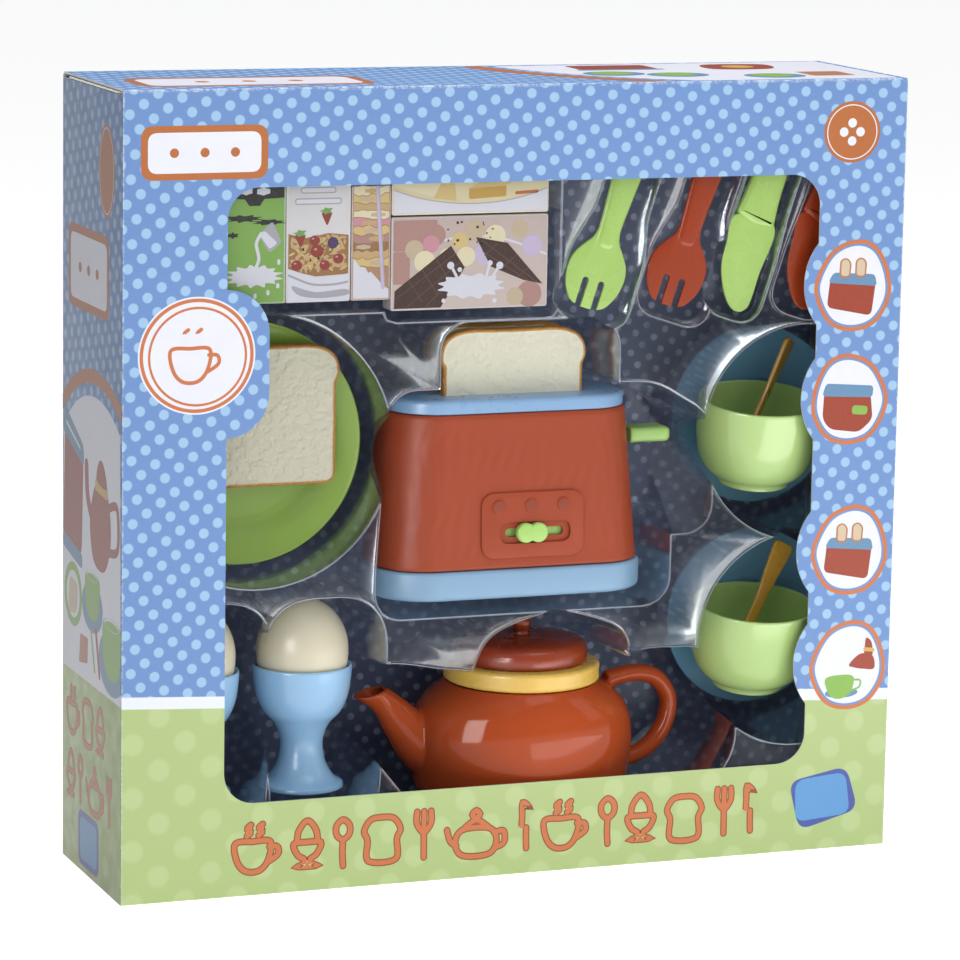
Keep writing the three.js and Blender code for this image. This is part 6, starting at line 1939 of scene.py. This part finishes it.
def addCereal():
    add, done = addPacket("cereal", "food_white")
    add("flakeDark", 1, [[(1, 14.8), (14, 11.6), (29.4, 12.4), (29.4, 30), (20, 31), (9, 29), (1, 31)]])
    pick = random.Random(7)
    for i in range(120):
        x, z = pick.uniform(2.6, 27.8), pick.uniform(14.6, 29.4)
        half, thin, turn = pick.uniform(1, 2.4), pick.uniform(0.35, 0.9), pick.uniform(0, pi)
        level, rise = cos(turn), sin(turn)
        flake = [(x + a * level - b * rise, z + a * rise + b * level) for a, b in circle(0, 0, half, 9, thin)]
        add("flake" if i % 4 else "sand", 2 + i % 2, [flake])
    berries = [(13.4, 27.8, 2.5), (14.6, 23, 3.1), (18.2, 16.6, 2.5), (24.6, 19.4, 2.5), (5, 16.8, 2.6)]
    for x, z, radius in berries:
        add("berry", 4, [circle(x, z, radius, 24, radius * 0.92)])
        add("pink", 5, [circle(x - 0.8, z + 0.9, radius * 0.26, 16, radius * 0.16)])
    add("plum", 4, [circle(22, 26.6, 2.6, 24)])
    add("white", 4, [[(1, 1), (29.4, 1), (29.4, 12.6), (22, 11.4), (12, 11.6), (1, 15.4)]])
    add("shadow", 5, curved([(1.4, 12.4), (12, 8.2), (22, 7.8), (29, 8.8)], 1))
    fold = [(3, 7.6), (14, 4.6), (28, 5.6), (29, 3), (16, 1.8), (6, 3.4)]
    add("shadow", 5, [evenly(smoothLine(fold, 8, True), 0.6)])
    for x, z in ((19, 38.4), (6.6, 28.6)):
        add("berry", 5, cornered(1.4, (x - 2.8, z + 2), (x + 2.8, z + 2), (x + 0.2, z - 4.4)))
        add("leaf", 6, blot(x, z + 2.6, 2.6, 1.4, 5, 0.35, 2))
    for z, half in ((50.4, 8.4), (45.4, 11)):
        add("shadow", 1, [rectangle(15 - half, z - 1.5, 15 + half, z + 1.5, 1.4)])
        add("white", 2, [rectangle(15.6 - half, z - 0.9, 14.4 + half, z + 0.9, 0.8)])
    done()


def addCookies():
    add, done = addPacket("cookie", "food_tan")
    bands = ("cream", "sand", "flake", "cream", "pink", "sand", "rose", "flakeDark", "flake", "sand")
    pick = random.Random(11)
    levels = [51.4 - 3.6 * i for i in range(len(bands) + 1)]
    edges = [[(x, z + pick.uniform(-0.7, 0.7)) for x in np.linspace(0.9, 17.7, 9)] for z in levels]
    for i, colour in enumerate(bands):
        line = evenly(smoothLine(edges[i], 6), 0.5, False)
        under = evenly(smoothLine(edges[i + 1], 6), 0.5, False)
        add(colour, 1, [line + under[::-1]])
        add("flakeDark", 2, stroke(under, 0.3))
        x = pick.uniform(4, 13)
        add("bread" if i % 2 else "flake", 3, blot(x, levels[i] - 1.9, 3.6, 1.1, 6, 0.18, i))
    ragged = [(0.9, 19)] + [(2 + 1.2 * i, 17.6 - 0.9 * i + pick.uniform(-0.9, 0.9)) for i in range(12)]
    add("white", 4, [[(0.9, 0.9), (17.7, 0.9), (17.7, 5)] + ragged[::-1]])
    add("shadow", 5, dash((12.2, 51), (15.2, 6), 1.9, 1))
    add("lilac", 6, dash((12, 51), (15, 6), 1.4, 1))
    done()


def addChocolate():
    add, done = addPacket("chocolate", "food_cream")
    add("rose", 1, [rectangle(1, 27, 22, 41, 1)], [rectangle(1, 12, 9, 26.8, 1)])
    spots = [
        (21, 34, 5, "rose"), (19, 30, 4, "pink"), (11, 27.6, 4.4, "bread"), (27, 24, 4, "cream"),
        (33, 31, 4, "sand"), (16, 22, 5, "cream"), (40, 36, 5, "bread"), (50, 33, 5, "cream"),
        (62, 36, 4, "bread"), (68, 28, 5, "lilac"), (45, 25, 5, "lilac"), (36, 24, 4.4, "cream"),
        (67, 6, 6, "rose"), (60, 5, 4, "bread"),
    ]
    for i, (x, z, radius, colour) in enumerate(spots):
        add(colour, 2 + i % 2, [circle(x, z, radius, 40)])
    add("white", 1, curved([(9, 27), (30, 32.4), (52, 32), (75, 24)], 1, 1))
    add("cocoa", 4, [[(1.6, 1), (1.8, 9), (28.6, 29), (35.4, 19), (24, 1)]])
    add("cocoa", 4, [[(40.6, 32.6), (56, 29.6), (73.4, 10.4), (64, 12.4), (48, 19)]])
    grooves = [(2.4, 5.4, 31, 25.4), (8, 1.8, 33.4, 21.6), (17, 1.8, 34.4, 17.4), (43.6, 31, 71, 11)]
    grooves += [(44, 26, 66, 12.4), (8.6, 13.6, 15, 4), (15, 18.4, 22.4, 7), (21.4, 23.4, 29, 11.6)]
    grooves += [(45, 24, 51, 29.4), (53, 17.4, 60.4, 24), (61, 13.8, 66.4, 18)]
    for x0, z0, x1, z1 in grooves:
        add("cocoaPale", 5, dash((x0, z0), (x1, z1), 0.35))
    pick = random.Random(5)
    for i in range(16):
        place = pick.uniform(27, 50), pick.uniform(29, 40)
        size = pick.uniform(0.3, 0.8), pick.uniform(0.3, 0.7)
        add("cocoa", 4, blot(*place, *size, 4, 0.2, i))
    add("white", 6, blot(38.5, 10.4, 15, 5.4, 12, 0.16, 9))
    drops = [(28.6, 20, 1.7), (33, 18, 1.1), (47.6, 20.6, 1.3), (52.4, 19.4, 1.7), (25.4, 4, 1), (50, 3.4, 1.2)]
    add("white", 6, *[[circle(*drop, 24)] for drop in drops])
    for start, end in (((29, 19.6), (32, 14)), ((52, 19), (48.4, 13.6)), ((47.4, 20), (46, 15))):
        add("white", 6, dash(start, end, 1.3, 0.5))
    done()


def addButter():
    add, done = addPacket("butter", "food_cream")
    add("cream", 1, [[(1, 15), (24, 15), (20, 8.4), (8, 11), (1, 13)]])
    add("sand", 2, [[(24, 15), (30, 15), (31, 6), (20, 7.4)]])
    arcLine = evenly(smoothLine([(1, 11.4), (14, 7.4), (30, 5), (46, 4.8), (62, 7), (75, 11)], 10), 0.8, False)
    add("white", 3, [[(0.9, 0.9), (74.9, 0.9)] + arcLine[::-1]])
    add("shadow", 4, stroke(arcLine, 0.4))
    add("yellow", 4, cornered(1, (37, 6.6), (55, 7.6), (55, 12.6), (37, 11.6)))
    add("sand", 5, cornered(0.8, (37, 11.4), (55, 12.4), (59, 14.6), (42, 14)))
    add("orange", 4, dash((60, 9), (70, 9.6), 1.4, 0.6))
    done()


addMilk()
addCereal()
addCookies()
addChocolate()
addButter()
print("food packed")

# Floor and light

studio = {
    "floor": 0.86,
    "glow": 0.74,  # the paper is lit from below as well, so that it stays white far away
    "world": 0.24,
    "sheet": (0.55, 0.4, 2.4),  # width, depth and power of the bright sheet
    "sheetPlace": (0.3, -0.42, 0.004),
    "aim": (0, 0, 0.18),
    "lights": [
        # name, azimuth and elevation from the object, distance, width, height, power, what it lights
        ("window", -51.5, 10.5, 1.9, 0.7, 1.1, 30, "gloss"),
        ("key", -38, 30, 2.2, 0.9, 0.9, 3.5, "colour"),
        ("overhead", 10, 72, 2.2, 2.4, 2.4, 9, "both"),
        ("above the lid", 180, 88, 1.1, 0.9, 0.5, 8, "colour"),
        ("front", 20, 52, 2.4, 1.1, 0.8, 4.6, "both"),
        ("camera side", 20, 22, 2.4, 1.4, 1.2, 11.6, "colour"),
        ("fill", 66, 22, 2.6, 0.8, 1.6, 4.5, "both"),
    ],
}


def areaLight(name, width, height, power, place, turn):
    data = bpy.data.lights.new(name, "AREA")
    data.shape = "RECTANGLE"
    data.size, data.size_y, data.energy = width, height, power
    lamp = bpy.data.objects.new(name, data)
    lamp.location, lamp.rotation_euler = place, turn
    bpy.context.scene.collection.objects.link(lamp)
    return lamp


def addStudio():
    bpy.ops.mesh.primitive_plane_add(size=60, location=(0, 10, -0.0001))
    floor = bpy.context.object
    floor.name = "studio_floor"
    material, tree, shader, place = newMaterial("studio_paper")
    grey = studio["floor"]
    colour = mixed(tree, noise(tree, place, 900, 2), [grey * 0.985] * 3 + [1], [grey] * 3 + [1])
    finished(tree, shader, colour, 0.9)
    shader.inputs["Emission Color"].default_value = (1, 1, 1, 1)
    shader.inputs["Emission Strength"].default_value = studio["glow"]
    floor.data.materials.append(material)
    world = bpy.data.worlds.new("studio")
    world.use_nodes = True
    back = world.node_tree.nodes["Background"]
    back.inputs["Color"].default_value = (0.97, 0.98, 1, 1)
    back.inputs["Strength"].default_value = studio["world"]
    bpy.context.scene.world = world
    # A bright sheet on the table in front, which only the glossy toys mirror
    sheet = areaLight("table sheet", *studio["sheet"], studio["sheetPlace"], (pi, 0, 0))
    sheet.visible_diffuse = sheet.visible_camera = sheet.visible_transmission = False
    for name, azimuth, elevation, distance, width, height, power, lights in studio["lights"]:
        turn, rise = radians(azimuth), radians(elevation)
        way = Vector((sin(turn) * cos(rise), -cos(turn) * cos(rise), sin(rise)))
        place, turn = Vector(studio["aim"]) + way * distance, (-way).to_track_quat("-Z", "Y").to_euler()
        lamp = areaLight(name, width, height, power, place, turn)
        lamp.visible_diffuse = lights != "gloss"
        lamp.visible_glossy = lights != "colour"
    bpy.context.scene.view_settings.view_transform = "Standard"
    bpy.context.scene.cycles.transparent_max_bounces = 40


addStudio()
print("studio lit")
